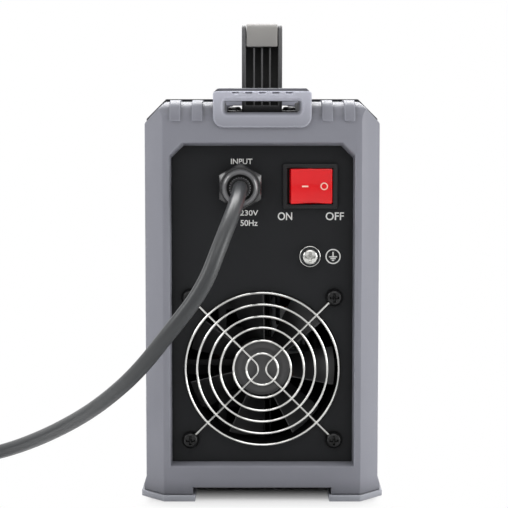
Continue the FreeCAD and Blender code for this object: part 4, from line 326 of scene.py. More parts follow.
@dataclass(frozen=True)
class Finish:
    """Surface of one material slot.

    Args:
        slot: The slot's name in the record.
        colour: Screen colour, 0 to 255.
        roughness: Mean roughness.
        metallic: One for bare metal.
        grain: Depth of the fine texture, in millimetres.
        grain_scale: How fine the texture is.
        variation: Share by which the colour drifts.
        coat: Weight of a clear gloss layer.
        glow: Strength of light given off.
        shine: Specular level.
        edge: Share by which raised edges are lighter, a painted highlight.
        hollow: How much painted shade darkens hollows and corners.
        across: Stretch of the texture, below one for drawn lines along X.
        crest: Share of the painted light that makes the strap loops lighter towards their top.
    """

    slot: str
    colour: tuple[int, int, int]
    roughness: float = 0.5
    metallic: float = 0.0
    grain: float = 0.0
    grain_scale: float = 900.0
    variation: float = 0.03
    coat: float = 0.0
    glow: float = 0.0
    shine: float = 0.5
    edge: float = 0.0
    hollow: float = 0.0
    across: float = 1.0
    crest: float = 0.0

    def material(self, effects: SharedEffects) -> bpy.types.Material:
        """Build the material.

        Args:
            effects: Groups that the finishes share.

        Returns:
            A material with its nodes.
        """
        material = bpy.data.materials.new(self.slot)
        material.use_nodes = True
        tree = material.node_tree
        shader = tree.nodes["Principled BSDF"]
        tone = tree.nodes.new("ShaderNodeGroup")
        tone.node_tree = effects.tone
        tone.inputs["Colour"].default_value = linear(self.colour)
        tone.inputs["Variation"].default_value = self.variation
        tone.inputs["Roughness"].default_value = self.roughness
        # These three inputs set the painted highlight on edges, the painted shade in hollows and the painted
        # light on the strap loops.
        tone.inputs["Painted Edge Highlight"].default_value = self.edge
        tone.inputs["Painted Hollow Shade"].default_value = self.hollow
        tone.inputs["Painted Loop Light"].default_value = self.crest
        tree.links.new(tone.outputs["Colour"], shader.inputs["Base Color"])
        tree.links.new(tone.outputs["Roughness"], shader.inputs["Roughness"])
        shader.inputs["Metallic"].default_value = self.metallic
        shader.inputs["Coat Weight"].default_value = self.coat
        shader.inputs["Specular IOR Level"].default_value = self.shine
        if self.glow:
            shader.inputs["Emission Color"].default_value = linear(self.colour)
            shader.inputs["Emission Strength"].default_value = self.glow
        if self.grain:
            grain = tree.nodes.new("ShaderNodeGroup")
            grain.node_tree = effects.grain
            grain.inputs["Scale"].default_value = self.grain_scale
            grain.inputs["Across"].default_value = self.across
            bump = tree.nodes.new("ShaderNodeBump")
            bump.inputs["Strength"].default_value = 1.0
            bump.inputs["Distance"].default_value = self.grain * MM
            tree.links.new(grain.outputs["Height"], bump.inputs["Height"])
            tree.links.new(bump.outputs["Normal"], shader.inputs["Normal"])
        return material


# Here and in EXTRA_FINISHES, edge sets a painted highlight on edges, hollow sets painted shade in hollows and
# corners, and crest sets painted light on the strap loops.
FINISHES = (
    Finish("bezel_grey", (141, 142, 151), 0.4, grain=0.03, shine=0.32, edge=0.7, hollow=1.0, crest=1.0),
    Finish("foot_grey", (176, 178, 186), 0.5, grain=0.02, shine=0.25, edge=0.4, hollow=0.3),
    Finish("panel_black", (35, 36, 38), 0.5, grain=0.03, grain_scale=1400, shine=0.14, hollow=0.9),
    Finish("cover_black", (50, 51, 54), 0.55, grain=0.05, grain_scale=700, shine=0.3, edge=0.2),
    Finish("divider_zinc", (196, 199, 202), 0.38, metallic=1.0, variation=0.12, grain=0.02, grain_scale=300),
    Finish("steel", (196, 198, 200), 0.3, metallic=1.0, grain=0.01, grain_scale=400, across=0.05),
    Finish("handle_grey", (106, 106, 107), 0.5, grain=0.03, shine=0.3, edge=0.2, hollow=2.4),
    Finish("grip_grey", (160, 158, 155), 0.6, grain=0.03, grain_scale=600, shine=0.3),
    Finish("fan_black", (40, 40, 41), 0.36, shine=0.75, grain=0.01),
    Finish("chrome", (200, 200, 197), 0.16, metallic=1.0, variation=0.05),
    Finish("screw_black", (16, 16, 17), 0.28, metallic=0.2, shine=0.4, grain=0.01, edge=0.2, hollow=0.6),
    Finish("switch_black", (26, 26, 28), 0.34, shine=0.3, grain=0.01),
    Finish("rocker_red", (236, 14, 24), 0.2, coat=0.3, variation=0.03, shine=0.3),
    Finish("gland_black", (34, 34, 36), 0.24, shine=0.9, grain=0.01, edge=1.6, hollow=0.6),
    Finish("cord_grey", (52, 54, 56), 0.38, grain=0.03, grain_scale=500, shine=0.5),
    Finish("brass", (208, 172, 104), 0.28, metallic=1.0, variation=0.08, grain=0.01),
    Finish("socket_black", (42, 42, 44), 0.45, grain=0.03, shine=0.35, edge=0.3),
    Finish("display_dark", (14, 12, 14), 0.1, coat=0.6),
    Finish("button_grey", (170, 170, 172), 0.4, grain=0.01),
    Finish("board_green", (24, 100, 58), 0.4, coat=0.3, variation=0.1),
    Finish("aluminium", (205, 207, 209), 0.4, metallic=1.0, grain=0.04, grain_scale=600, variation=0.08),
    Finish("motor_grey", (112, 114, 118), 0.38, metallic=0.5, grain=0.02, across=0.1),
    Finish("spool_plastic", (58, 58, 62), 0.42, grain=0.02, edge=0.3),
    Finish("wire_copper", (204, 126, 84), 0.3, metallic=1.0, variation=0.08),
    Finish("ferrite", (62, 63, 65), 0.6, grain=0.04),
    Finish("capacitor_sleeve", (28, 34, 74), 0.25, coat=0.3),
)
EXTRA_FINISHES = (
    Finish("print_white", (226, 226, 224), 0.5),
    Finish("mark_cream", (255, 214, 196), 0.4),
    Finish("digit_red", (240, 40, 28), 0.4, glow=0.9),
    Finish("sink_black", (24, 24, 26), 0.5, metallic=0.4, grain=0.02, across=0.1),
    Finish("washer_dark", (58, 60, 62), 0.35, metallic=1.0),
    Finish("nut_black", (28, 28, 30), 0.26, shine=0.8, grain=0.01, edge=0.8, hollow=0.9),
    Finish("cap_black", (96, 96, 98), 0.2, shine=0.9, grain=0.005, hollow=0.5),
    Finish("claw_grey", (130, 130, 132), 0.4, shine=0.5),
    Finish("frame_black", (15, 15, 16), 0.5, shine=0.2, grain=0.02),
    Finish("seal_grey", (54, 54, 56), 0.5, shine=0.3, grain=0.02, hollow=1.8),
)


@dataclass(frozen=True)
class Zone:
    """Box in which edges get a width of their own, in millimetres.

    Args:
        low: Least x, distance from the middle along Y, and height.
        high: Most x, distance from the middle along Y, and height.
        width: The width, at most one.
    """

    low: Point
    high: Point
    width: float

    def holds(self, place: Vector) -> bool:
        """Tell whether a place lies in the box."""
        seen = (abs(place.x), abs(place.y), place.z)
        return all(least <= value <= most for least, value, most in zip(self.low, seen, self.high))


class Workshop:
    """Makes pieces and hands them to the frame with their finish and body.

    An edge is rounded where it bends by more than least_bend degrees. Its run carries on over
    turns of less than carry_on degrees, while it bends by more than slight_bend. A rounding
    takes no more than the given share of the edges that meet it.
    """

    least_bend = 28.0
    slight_bend = 9.0
    carry_on = 38.0
    share = 0.7
    merge_reach = 1e-6
    flat_bend = 0.6
    soft_sharp = 32.0

    def __init__(self, frame: dict) -> None:
        """Build the materials and dress every CAD node.
        """
        effects = SharedEffects()
        self.frame = frame
        self.materials = {item.slot: item.material(effects) for item in (*FINISHES, *EXTRA_FINISHES)}
        self.slots = {part["node"]: part["material_slot"] for part in frame["record"]["subparts"]}
        bodies = frame["record"]["behaviour"]["bodies"]
        self.body = {node: body for body, nodes in bodies.items() for node in nodes}
        for node, item in frame["nodes"].items():
            item.data.materials.clear()
            item.data.materials.append(self.materials[self.slots[node]])

    def piece(self, name: str, mesh: bpy.types.Mesh, body: str, finish: str,
              replaces: str | None = None, sharp: float = 35.0) -> bpy.types.Object:
        """Put a finished mesh in the scene.

        Args:
            name: Name of the piece.
            mesh: Mesh with its place in its vertices.
            body: CAD body that it moves with.
            finish: Name of its material.
            replaces: CAD node that it stands for.
            sharp: Angle in degrees past which edges stay sharp.

        Returns:
            The new object.
        """
        mesh.materials.clear()
        mesh.materials.append(self.materials[finish])
        mesh.polygons.foreach_set("use_smooth", [True] * len(mesh.polygons))
        mesh.set_sharp_from_angle(angle=math.radians(sharp))
        item = bpy.data.objects.new(name, mesh)
        bpy.context.scene.collection.objects.link(item)
        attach(item, body)
        if replaces:
            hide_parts(replaces)
        LOG.info("%s: %d faces on %s", name, len(mesh.polygons), body)
        return item

    def soften(self, node: str, width: float, segments: int = 2, finish: str | None = None,
               zones: Sequence[Zone] = ()) -> bpy.types.Object:
        """Stand in for a CAD node with a copy whose edges are rounded.

        Args:
            node: The CAD node.
            width: Width of the rounding, in millimetres.
            segments: Steps across the rounding.
            finish: Name of a finish other than its slot's.
            zones: Places with a width of their own, the first that fits.

        Returns:
            The new object.
        """
        work = bmesh.new()
        work.from_mesh(self.frame["nodes"][node].data)
        bmesh.ops.remove_doubles(work, verts=work.verts, dist=self.merge_reach)
        bmesh.ops.dissolve_limit(work, angle_limit=math.radians(self.flat_bend), verts=work.verts,
                                 edges=work.edges)
        self.weigh(work, width, zones)
        mesh = bpy.data.meshes.new(f"{node}_soft")
        work.to_mesh(mesh)
        work.free()
        item = bpy.data.objects.new("rounding", mesh)
        bpy.context.scene.collection.objects.link(item)
        bevel = item.modifiers.new("rounding", "BEVEL")
        bevel.width = MM
        bevel.segments = segments
        bevel.limit_method = "WEIGHT"
        bevel.use_clamp_overlap = False
        bevel.miter_outer = "MITER_ARC"
        rounded = plain_mesh(item)
        bpy.data.objects.remove(item)
        slot = self.slots[node]
        return self.piece(f"{node}_soft", rounded, self.body[node], finish or slot, node,
                          self.soft_sharp)

    def weigh(self, work: bmesh.types.BMesh, width: float, zones: Sequence[Zone]) -> None:
        """Give each bent edge the width that fits between its neighbours, in millimetres.

        Args:
            work: The mesh.
            width: Width wherever no zone fits.
            zones: Places with a width of their own.
        """
        weights = work.edges.layers.float.new("bevel_weight_edge")
        for chain in self.chains(work):
            fitting = []
            for edge in chain:
                middle = (edge.verts[0].co + edge.verts[1].co) / (2 * MM)
                fitting.append(next((zone.width for zone in zones if zone.holds(middle)), width))
                for vertex in edge.verts:
                    along = edge.other_vert(vertex).co - vertex.co
                    for other in vertex.link_edges:
                        away = other.other_vert(vertex).co - vertex.co
                        if other not in chain and along.length and away.length:
                            fitting.append(self.share * away.length / MM)
            for edge in chain:
                edge[weights] = min(*fitting, 1.0)

    def chains(self, work: bmesh.types.BMesh) -> list[set[bmesh.types.BMEdge]]:
        """Runs of outer edges that carry on from one to the next.

        Args:
            work: The mesh.

        Returns:
            Each run as a set of edges.
        """
        bend = {edge: edge.calc_face_angle_signed(0.0) for edge in work.edges if len(edge.link_faces) == 2}
        least, slight = math.radians(self.least_bend), math.radians(self.slight_bend)
        found, taken = [], set()
        for first in (edge for edge, angle in bend.items() if angle > least):
            if first in taken:
                continue
            chain, waiting = set(), [first]
            while waiting:
                edge = waiting.pop()
                if edge in taken:
                    continue
                taken.add(edge)
                chain.add(edge)
                for vertex in edge.verts:
                    along = vertex.co - edge.other_vert(vertex).co
                    for other in vertex.link_edges:
                        away = other.other_vert(vertex).co - vertex.co
                        if other in taken or bend.get(other, 0.0) < slight:
                            continue
                        if not along.length or not away.length:
                            continue
                        if along.angle(away) < math.radians(self.carry_on):
                            waiting.append(other)
            found.append(chain)
        return found


def plain_mesh(item: bpy.types.Object) -> bpy.types.Mesh:
    """Evaluate an object's modifiers or curve into a plain mesh.

    Args:
        item: Object in the scene.

    Returns:
        A new mesh without modifiers.
    """
    graph = bpy.context.evaluated_depsgraph_get()
    return bpy.data.meshes.new_from_object(item.evaluated_get(graph))


def mesh_of(name: str, vertices: Sequence[Sequence[float]], faces: Sequence[Sequence[int]]) -> bpy.types.Mesh:
    """Make a mesh from millimetre vertices, with its faces turned outwards.

    Args:
        name: Name of the mesh.
        vertices: Points in millimetres.
        faces: Vertex numbers of each face.

    Returns:
        The mesh, in metres.
    """
    mesh = bpy.data.meshes.new(name)
    mesh.from_pydata([tuple(value * MM for value in vertex) for vertex in vertices], [], faces)
    work = bmesh.new()
    work.from_mesh(mesh)
    bmesh.ops.remove_doubles(work, verts=work.verts, dist=JOIN_REACH)
    bmesh.ops.recalc_face_normals(work, faces=work.faces)
    work.to_mesh(mesh)
    work.free()
    return mesh


def turned(name: str, profile: Sequence[tuple[float, float]], steps: int = 48) -> bpy.types.Mesh:
    """Turn a closed profile about the Z axis.

    Args:
        name: Name of the mesh.
        profile: Points of (radius, height) in millimetres.
        steps: Number of steps round the axis.

    Returns:
        The turned mesh.
    """
    vertices, faces = [], []
    count = len(profile)
    for step in range(steps):
        angle = 2 * math.pi * step / steps
        across, along = math.cos(angle), math.sin(angle)
        vertices.extend((radius * across, radius * along, height) for radius, height in profile)
    for step in range(steps):
        for index in range(count):
            near, far = step * count, (step + 1) % steps * count
            following = (index + 1) % count
            faces.append((near + index, near + following, far + following, far + index))
    mesh = mesh_of(name, vertices, faces)
    work = bmesh.new()
    work.from_mesh(mesh)
    bmesh.ops.dissolve_degenerate(work, dist=JOIN_REACH, edges=work.edges)
    bmesh.ops.recalc_face_normals(work, faces=work.faces)
    work.to_mesh(mesh)
    work.free()
    return mesh


def block(name: str, low: Point, high: Point) -> bpy.types.Mesh:
    """Make a box between two corners in millimetres.

    Args:
        name: Name of the mesh.
        low: Its least corner.
        high: Its most corner.

    Returns:
        The closed box.
    """
    vertices = [(x, y, z) for x in (low[0], high[0]) for y in (low[1], high[1]) for z in (low[2], high[2])]
    faces = [(0, 1, 3, 2), (4, 6, 7, 5), (0, 4, 5, 1), (2, 3, 7, 6), (0, 2, 6, 4), (1, 5, 7, 3)]
    return mesh_of(name, vertices, faces)


def prism(name: str, outline: Sequence[tuple[float, float]], depth: float) -> bpy.types.Mesh:
    """Extrude a flat outline upwards.

    Args:
        name: Name of the mesh.
        outline: Points of (x, y) in millimetres.
        depth: Height in millimetres.

    Returns:
        The closed mesh, standing on z = 0.
    """
    count = len(outline)
    vertices = [(x, y, z) for z in (0.0, depth) for x, y in outline]
    faces = [tuple(range(count)), tuple(range(count, 2 * count))]
    for index in range(count):
        after = (index + 1) % count
        faces.append((index, after, after + count, index + count))
    return mesh_of(name, vertices, faces)


def joined(name: str, meshes: Sequence[bpy.types.Mesh]) -> bpy.types.Mesh:
    """Gather several meshes in one.

    Args:
        name: Name of the new mesh.
        meshes: The meshes, which stay as they are.

    Returns:
        The new mesh.
    """
    work = bmesh.new()
    for mesh in meshes:
        work.from_mesh(mesh)
    result = bpy.data.meshes.new(name)
    work.to_mesh(result)
    work.free()
    return result


def moved(mesh: bpy.types.Mesh, x: float = 0.0, y: float = 0.0, z: float = 0.0,
          turn: Matrix | None = None) -> bpy.types.Mesh:
    """Turn a mesh about the origin, then move it.

    Args:
        mesh: Mesh to change.
        x: Millimetres along X.
        y: Millimetres along Y.
        z: Millimetres along Z.
        turn: Turn before the move.

    Returns:
        The same mesh.
    """
    mesh.transform(Matrix.Translation((x * MM, y * MM, z * MM)) @ (turn or Matrix.Identity(4)))
    return mesh


def words(text: str, left: float, right: float, low: float, high: float,
          raised: float = PRINT_DEPTH) -> bpy.types.Mesh:
    """Letters fitted to a box on the XY plane.

    Args:
        text: The letters.
        left: Left side in millimetres.
        right: Right side in millimetres.
        low: Foot of the letters.
        high: Top of the letters.
        raised: Thickness of the print.

    Returns:
        The letters as a mesh that rises from z = 0.
    """
    curve = bpy.data.curves.new(text, "FONT")
    curve.body = text
    curve.extrude = LETTER_DEPTH
    curve.offset = LETTER_WEIGHT
    item = bpy.data.objects.new(text, curve)
    bpy.context.scene.collection.objects.link(item)
    mesh = plain_mesh(item)
    bpy.data.objects.remove(item)
    corners = [vertex.co for vertex in mesh.vertices]
    least = Vector(min(corner[axis] for corner in corners) for axis in range(3))
    most = Vector(max(corner[axis] for corner in corners) for axis in range(3))
    size = most - least
    growth = ((right - left) * MM / size.x, (high - low) * MM / size.y, raised * MM / size.z)
    fit = Matrix.Diagonal((*growth, 1.0))
    mesh.transform(Matrix.Translation((left * MM, low * MM, 0.0)) @ fit @ Matrix.Translation(-least))
    return mesh


def wire_mesh(line: Sequence[Point], radius: float, closed: bool = False) -> bpy.types.Mesh:
    """Round wire along straight runs between points, in millimetres.

    Args:
        line: The points.
        radius: Radius of the wire.
        closed: True where the last point joins the first.

    Returns:
        The wire as a mesh.
    """
    curve = bpy.data.curves.new("wire", "CURVE")
    curve.dimensions = "3D"
    curve.bevel_depth = radius * MM
    curve.bevel_resolution = 2
    curve.use_fill_caps = not closed
    spline = curve.splines.new("POLY")
    spline.points.add(len(line) - 1)
    for point, place in zip(spline.points, line):
        point.co = (*(value * MM for value in place), 1.0)
    spline.use_cyclic_u = closed
    item = bpy.data.objects.new("wire", curve)
    bpy.context.scene.collection.objects.link(item)
    mesh = plain_mesh(item)
    bpy.data.objects.remove(item)
    return mesh


class Pattern:
    """A geometry node tree with named inputs, run once to make a plain mesh."""

    def __init__(self, name: str, inputs: dict[str, object]) -> None:
        """Start a tree.

        Args:
            name: Name of the tree.
            inputs: Names with default values: int, float or a vector.
        """
        self.tree = bpy.data.node_groups.new(name, "GeometryNodeTree")
        self.tree.interface.new_socket("Geometry", in_out="INPUT", socket_type="NodeSocketGeometry")
        self.tree.interface.new_socket("Material", in_out="INPUT", socket_type="NodeSocketMaterial")
        for socket, value in inputs.items():
            kind = {int: "NodeSocketInt", float: "NodeSocketFloat", tuple: "NodeSocketVector"}[type(value)]
            self.tree.interface.new_socket(socket, in_out="INPUT", socket_type=kind).default_value = value
        self.tree.interface.new_socket("Geometry", in_out="OUTPUT", socket_type="NodeSocketGeometry")
        self.given = self.tree.nodes.new("NodeGroupInput")
        self.result = self.tree.nodes.new("NodeGroupOutput")

    def node(self, kind: str, values: dict[str | int, object] | None = None,
             **settings: object) -> bpy.types.Node:
        """Add a node.

        Args:
            kind: Blender's name of the node.
            values: Input names or numbers with a socket, the name of a tree input, or a plain value.
            settings: Properties of the node.

        Returns:
            The node.
        """
        node = self.tree.nodes.new(kind)
        for name, value in settings.items():
            setattr(node, name, value)
        for name, value in (values or {}).items():
            if isinstance(value, str):
                self.tree.links.new(self.given.outputs[value], node.inputs[name])
            elif isinstance(value, bpy.types.NodeSocket):
                self.tree.links.new(value, node.inputs[name])
            else:
                node.inputs[name].default_value = value
        return node

    def end(self, geometry: bpy.types.NodeSocket) -> "Pattern":
        """Close the tree with real geometry and its material."""
        realized = self.node("GeometryNodeRealizeInstances", {"Geometry": geometry})
        painted = self.node("GeometryNodeSetMaterial", {
            "Geometry": realized.outputs[0], "Material": "Material"})
        self.tree.links.new(painted.outputs[0], self.result.inputs[0])
        return self

    def run(self, base: bpy.types.Mesh, material: bpy.types.Material, **values: object) -> bpy.types.Mesh:
        """Run the tree on a mesh.

        Args:
            base: Mesh that the tree repeats or ignores.
            material: Material of the result.
            values: Input values, with spaces in their names as underscores.

        Returns:
            The result as a plain mesh.
        """
        item = bpy.data.objects.new("pattern", base)
        modifier = item.modifiers.new("pattern", "NODES")
        modifier.node_group = self.tree
        inputs = (socket for socket in self.tree.interface.items_tree if socket.in_out == "INPUT")
        sockets = {socket.name: socket.identifier for socket in inputs}
        modifier[sockets["Material"]] = material
        for name, value in values.items():
            modifier[sockets[name.replace("_", " ")]] = value
        bpy.context.scene.collection.objects.link(item)
        mesh = plain_mesh(item)
        item.modifiers.remove(modifier)
        bpy.data.objects.remove(item)
        return mesh


class PatternBook:
    """The rules by which pieces repeat on this machine."""

    def __init__(self) -> None:
        """Build each tree once."""
        self.grid = self._grid()
        self.ring = self._ring()
        self.helix = self._helix()
        self.wire_ring = self._wire_ring()
        self.scatter = self._scatter()

    @staticmethod
    def _grid() -> Pattern:
        """Copies on a grid of two steps."""
        book = Pattern("copies on a grid", {"Columns": 2, "Column Step": (0.01, 0.0, 0.0), "Rows": 2,
                                            "Row Step": (0.0, 0.0, 0.01)})
        line = book.node("GeometryNodeMeshLine", {"Count": "Columns", "Offset": "Column Step"})
        row = book.node("GeometryNodeInstanceOnPoints", {"Points": line.outputs[0], "Instance": "Geometry"})
        rise = book.node("GeometryNodeMeshLine", {"Count": "Rows", "Offset": "Row Step"})
        rows = book.node("GeometryNodeInstanceOnPoints", {
            "Points": rise.outputs[0], "Instance": row.outputs[0]})
        return book.end(rows.outputs[0])

    @staticmethod
    def _ring() -> Pattern:
        """Copies round the Z axis, each turned with its place."""
        book = Pattern("copies round an axis", {"Count": 8, "Radius": 0.01, "Used": 1000})
        circle = book.node("GeometryNodeMeshCircle", {"Vertices": "Count", "Radius": "Radius"})
        index = book.node("GeometryNodeInputIndex")
        share = book.node("ShaderNodeMath", {0: index.outputs[0], 1: "Count"}, operation="DIVIDE")
        angle = book.node("ShaderNodeMath", {0: share.outputs[0], 1: 2 * math.pi}, operation="MULTIPLY")
        turn = book.node("ShaderNodeCombineXYZ", {"Z": angle.outputs[0]})
        used = book.node("FunctionNodeCompare", {2: index.outputs[0], 3: "Used"}, data_type="INT",
                         operation="LESS_THAN")
        copies = book.node("GeometryNodeInstanceOnPoints", {
            "Points": circle.outputs[0], "Selection": used.outputs[0], "Instance": "Geometry",
            "Rotation": turn.outputs[0]})
        return book.end(copies.outputs[0])

    @staticmethod
    def _helix() -> Pattern:
        """Round wire wound in a helix along Z."""
        book = Pattern("wound wire", {"Turns": 8.0, "Coil Radius": 0.01, "Height": 0.02, "Wire Radius": 0.001,
                                      "Steps": 24, "Sides": 6})
        spiral = book.node("GeometryNodeCurveSpiral", {
            "Resolution": "Steps", "Rotations": "Turns", "Start Radius": "Coil Radius",
            "End Radius": "Coil Radius", "Height": "Height"})
        section = book.node("GeometryNodeCurvePrimitiveCircle", {
            "Resolution": "Sides", "Radius": "Wire Radius"})
        wire = book.node("GeometryNodeCurveToMesh", {
            "Curve": spiral.outputs[0], "Profile Curve": section.outputs[0], "Fill Caps": True})
        return book.end(wire.outputs[0])

    @staticmethod
    def _wire_ring() -> Pattern:
        """Ring of round wire about the Z axis."""
        book = Pattern("wire ring", {"Radius": 0.01, "Wire Radius": 0.0007, "Steps": 96, "Sides": 10})
        circle = book.node("GeometryNodeCurvePrimitiveCircle", {"Resolution": "Steps", "Radius": "Radius"})
        section = book.node("GeometryNodeCurvePrimitiveCircle", {
            "Resolution": "Sides", "Radius": "Wire Radius"})
        wire = book.node("GeometryNodeCurveToMesh", {
            "Curve": circle.outputs[0], "Profile Curve": section.outputs[0]})
        return book.end(wire.outputs[0])

    @staticmethod
    def _scatter() -> Pattern:
        """Small parts strewn over a board with a fixed seed."""
        book = Pattern("parts on a board", {"Density": 9000.0, "Seed": 4})
        points = book.node("GeometryNodeDistributePointsOnFaces", {
            "Mesh": "Geometry", "Distance Min": 0.006, "Density Max": "Density", "Seed": "Seed"},
            distribute_method="POISSON")
        part = book.node("GeometryNodeMeshCube", {"Size": (1.0, 1.0, 1.0)})
        size = book.node("FunctionNodeRandomValue", {
            "Min": (0.0016, 0.0016, 0.0012), "Max": (0.006, 0.005, 0.0034), "Seed": "Seed"},
            data_type="FLOAT_VECTOR")
        parts = book.node("GeometryNodeInstanceOnPoints", {
            "Points": points.outputs[0], "Instance": part.outputs[0], "Scale": size.outputs[0]})
        return book.end(parts.outputs[0])


def sheet(name: str, left: float, right: float, low: float, high: float) -> bpy.types.Mesh:
    """Flat rectangle on the XY plane, given in millimetres.

    Args:
        name: Name of the mesh.
        left: Its left side.
        right: Its right side.
        low: Its lower side.
        high: Its upper side.

    Returns:
        The rectangle, facing up.
    """
    corners = [(left, low, 0), (right, low, 0), (right, high, 0), (left, high, 0)]
    return mesh_of(name, corners, [(0, 1, 2, 3)])


def empty_mesh() -> bpy.types.Mesh:
    """Mesh with nothing in it, for trees that make all of theirs."""
    return bpy.data.meshes.new("empty")


@dataclass
class Studio:
    """Camera at the photograph's place, pale floor and soft light, all in metres.

    Args:
        camera_place: Where the camera stands.
        pitch_down: Angle by which it looks down.
        focal_pixels: Its focal length in pixels of the picture.
        picture_pixels: Width of the picture.
        sensor: Width of the camera's sensor in millimetres.
        lamp_target: What every lamp looks at.
        soft_strength: Strength of the backdrop's light on the machine.
        floor_half: Half of the floor's side.
        floor_grey: Colour of the floor under the machine.
        floor_gloss: Its roughness.
        shade_x: Distance from the middle along X past which the floor turns white.
        shade_y: The same along Y.
        shade_width: Distance over which it turns white along X.
        shade_length: The same along Y.
    """

    camera_place: Point = (-0.00468, -1.05, 0.21884)
    pitch_down: float = 4.84
    focal_pixels: float = 1591.1
    picture_pixels: int = 508
    sensor: float = 36.0
    lamp_target: Point = (0.0, 0.0, 0.12)
    soft_strength: float = 0.22
    floor_half: float = 8.0
    floor_grey: float = 0.92
    floor_gloss: float = 0.8
    shade_x: float = 0.056
    shade_y: float = 0.12
    shade_width: float = 0.016
    shade_length: float = 0.058

    LAMPS = (
        ("overhead", (0.0, 0.75, 1.5), 1.4, 0.8, 34.0),
        ("front above", (0.0, -1.3, 1.9), 1.6, 0.7, 8.0),
        ("left", (-1.3, -0.45, 0.95), 0.6, 0.8, 7.5),
        ("right", (1.7, -0.5, 0.4), 0.9, 1.3, 17.0),
        ("front side", (0.2, 2.4, 1.2), 1.6, 1.4, 15.0),
    )

    def camera(self) -> None:
        """Set up the camera."""
        data = bpy.data.cameras.new("camera")
        data.sensor_width = self.sensor
        data.lens = self.focal_pixels / self.picture_pixels * self.sensor
        item = bpy.data.objects.new("camera", data)
        item.location = self.camera_place
        item.rotation_euler = (math.radians(90 - self.pitch_down), 0.0, 0.0)
        bpy.context.scene.collection.objects.link(item)
        bpy.context.scene.camera = item
        bpy.context.scene.view_settings.view_transform = "Standard"

    def lamp(self, name: str, place: Point, width: float, height: float, power: float) -> None:
        """Hang one soft lamp.

        Args:
            name: Name of the lamp.
            place: Where it hangs.
            width: Width in metres.
            height: Height in metres.
            power: Watts.
        """
        data = bpy.data.lights.new(name, "AREA")
        data.shape = "RECTANGLE"
        data.size = width
        data.size_y = height
        data.energy = power
        item = bpy.data.objects.new(name, data)
        item.location = place
        gaze = Vector(self.lamp_target) - Vector(place)
        item.rotation_euler = gaze.to_track_quat("-Z", "Y").to_euler()
        bpy.context.scene.collection.objects.link(item)

    def light(self) -> None:
        """Hang the lamps and light the backdrop."""
        for lamp in self.LAMPS:
            self.lamp(*lamp)
        world = bpy.data.worlds.new("backdrop")
        bpy.context.scene.world = world
        world.use_nodes = True
        nodes, links = world.node_tree.nodes, world.node_tree.links
        rays = nodes.new("ShaderNodeLightPath")
        seen = rays.outputs["Is Camera Ray"]
        for kind in ("Is Glossy Ray", "Is Transmission Ray"):
            either = nodes.new("ShaderNodeMath")
            either.operation = "MAXIMUM"
            links.new(seen, either.inputs[0])
            links.new(rays.outputs[kind], either.inputs[1])
            seen = either.outputs[0]
        soft = nodes["Background"]
        soft.inputs["Color"].default_value = (1.0, 1.0, 1.0, 1.0)
        soft.inputs["Strength"].default_value = self.soft_strength
        white = nodes.new("ShaderNodeBackground")
        white.inputs["Color"].default_value = (1.0, 1.0, 1.0, 1.0)
        white.inputs["Strength"].default_value = 1.0
        mix = nodes.new("ShaderNodeMixShader")
        links.new(seen, mix.inputs[0])
        links.new(soft.outputs[0], mix.inputs[1])
        links.new(white.outputs[0], mix.inputs[2])
        links.new(mix.outputs[0], nodes["World Output"].inputs["Surface"])

    def floor(self) -> None:
        """Lay the pale floor, which turns pure white away from the machine."""
        half = self.floor_half / MM
        mesh = sheet("floor", -half, half, -half, half)
        item = bpy.data.objects.new("floor", mesh)
        material = bpy.data.materials.new("floor")
        material.use_nodes = True
        nodes, links = material.node_tree.nodes, material.node_tree.links
        shader = nodes["Principled BSDF"]
        shader.inputs["Base Color"].default_value = (*[self.floor_grey] * 3, 1.0)
        shader.inputs["Roughness"].default_value = self.floor_gloss
        glow = nodes.new("ShaderNodeEmission")
        rays = nodes.new("ShaderNodeLightPath")
        place = nodes.new("ShaderNodeTexCoord")
        away = nodes.new("ShaderNodeVectorMath")
        away.operation = "ABSOLUTE"
        beyond = nodes.new("ShaderNodeVectorMath")
        beyond.operation = "MULTIPLY_ADD"
        beyond.inputs[1].default_value = (1 / self.shade_width, 1 / self.shade_length, 0.0)
        beyond.inputs[2].default_value = (
            -self.shade_x / self.shade_width, -self.shade_y / self.shade_length, 0.0)
        sides = nodes.new("ShaderNodeSeparateXYZ")
        farther = nodes.new("ShaderNodeMath")
        farther.operation = "MAXIMUM"
        reach = nodes.new("ShaderNodeMapRange")
        reach.interpolation_type = "SMOOTHSTEP"
        share = nodes.new("ShaderNodeMath")
        share.operation = "MULTIPLY"
        mix = nodes.new("ShaderNodeMixShader")
        links.new(place.outputs["Object"], away.inputs[0])
        links.new(away.outputs[0], beyond.inputs[0])
        links.new(beyond.outputs[0], sides.inputs[0])
        links.new(sides.outputs["X"], farther.inputs[0])
        links.new(sides.outputs["Y"], farther.inputs[1])
        links.new(farther.outputs[0], reach.inputs["Value"])
        links.new(reach.outputs["Result"], share.inputs[0])
        links.new(rays.outputs["Is Camera Ray"], share.inputs[1])
        links.new(share.outputs[0], mix.inputs[0])
        links.new(shader.outputs[0], mix.inputs[1])
        links.new(glow.outputs[0], mix.inputs[2])
        links.new(mix.outputs[0], nodes["Material Output"].inputs["Surface"])
        mesh.materials.append(material)
        bpy.context.scene.collection.objects.link(item)


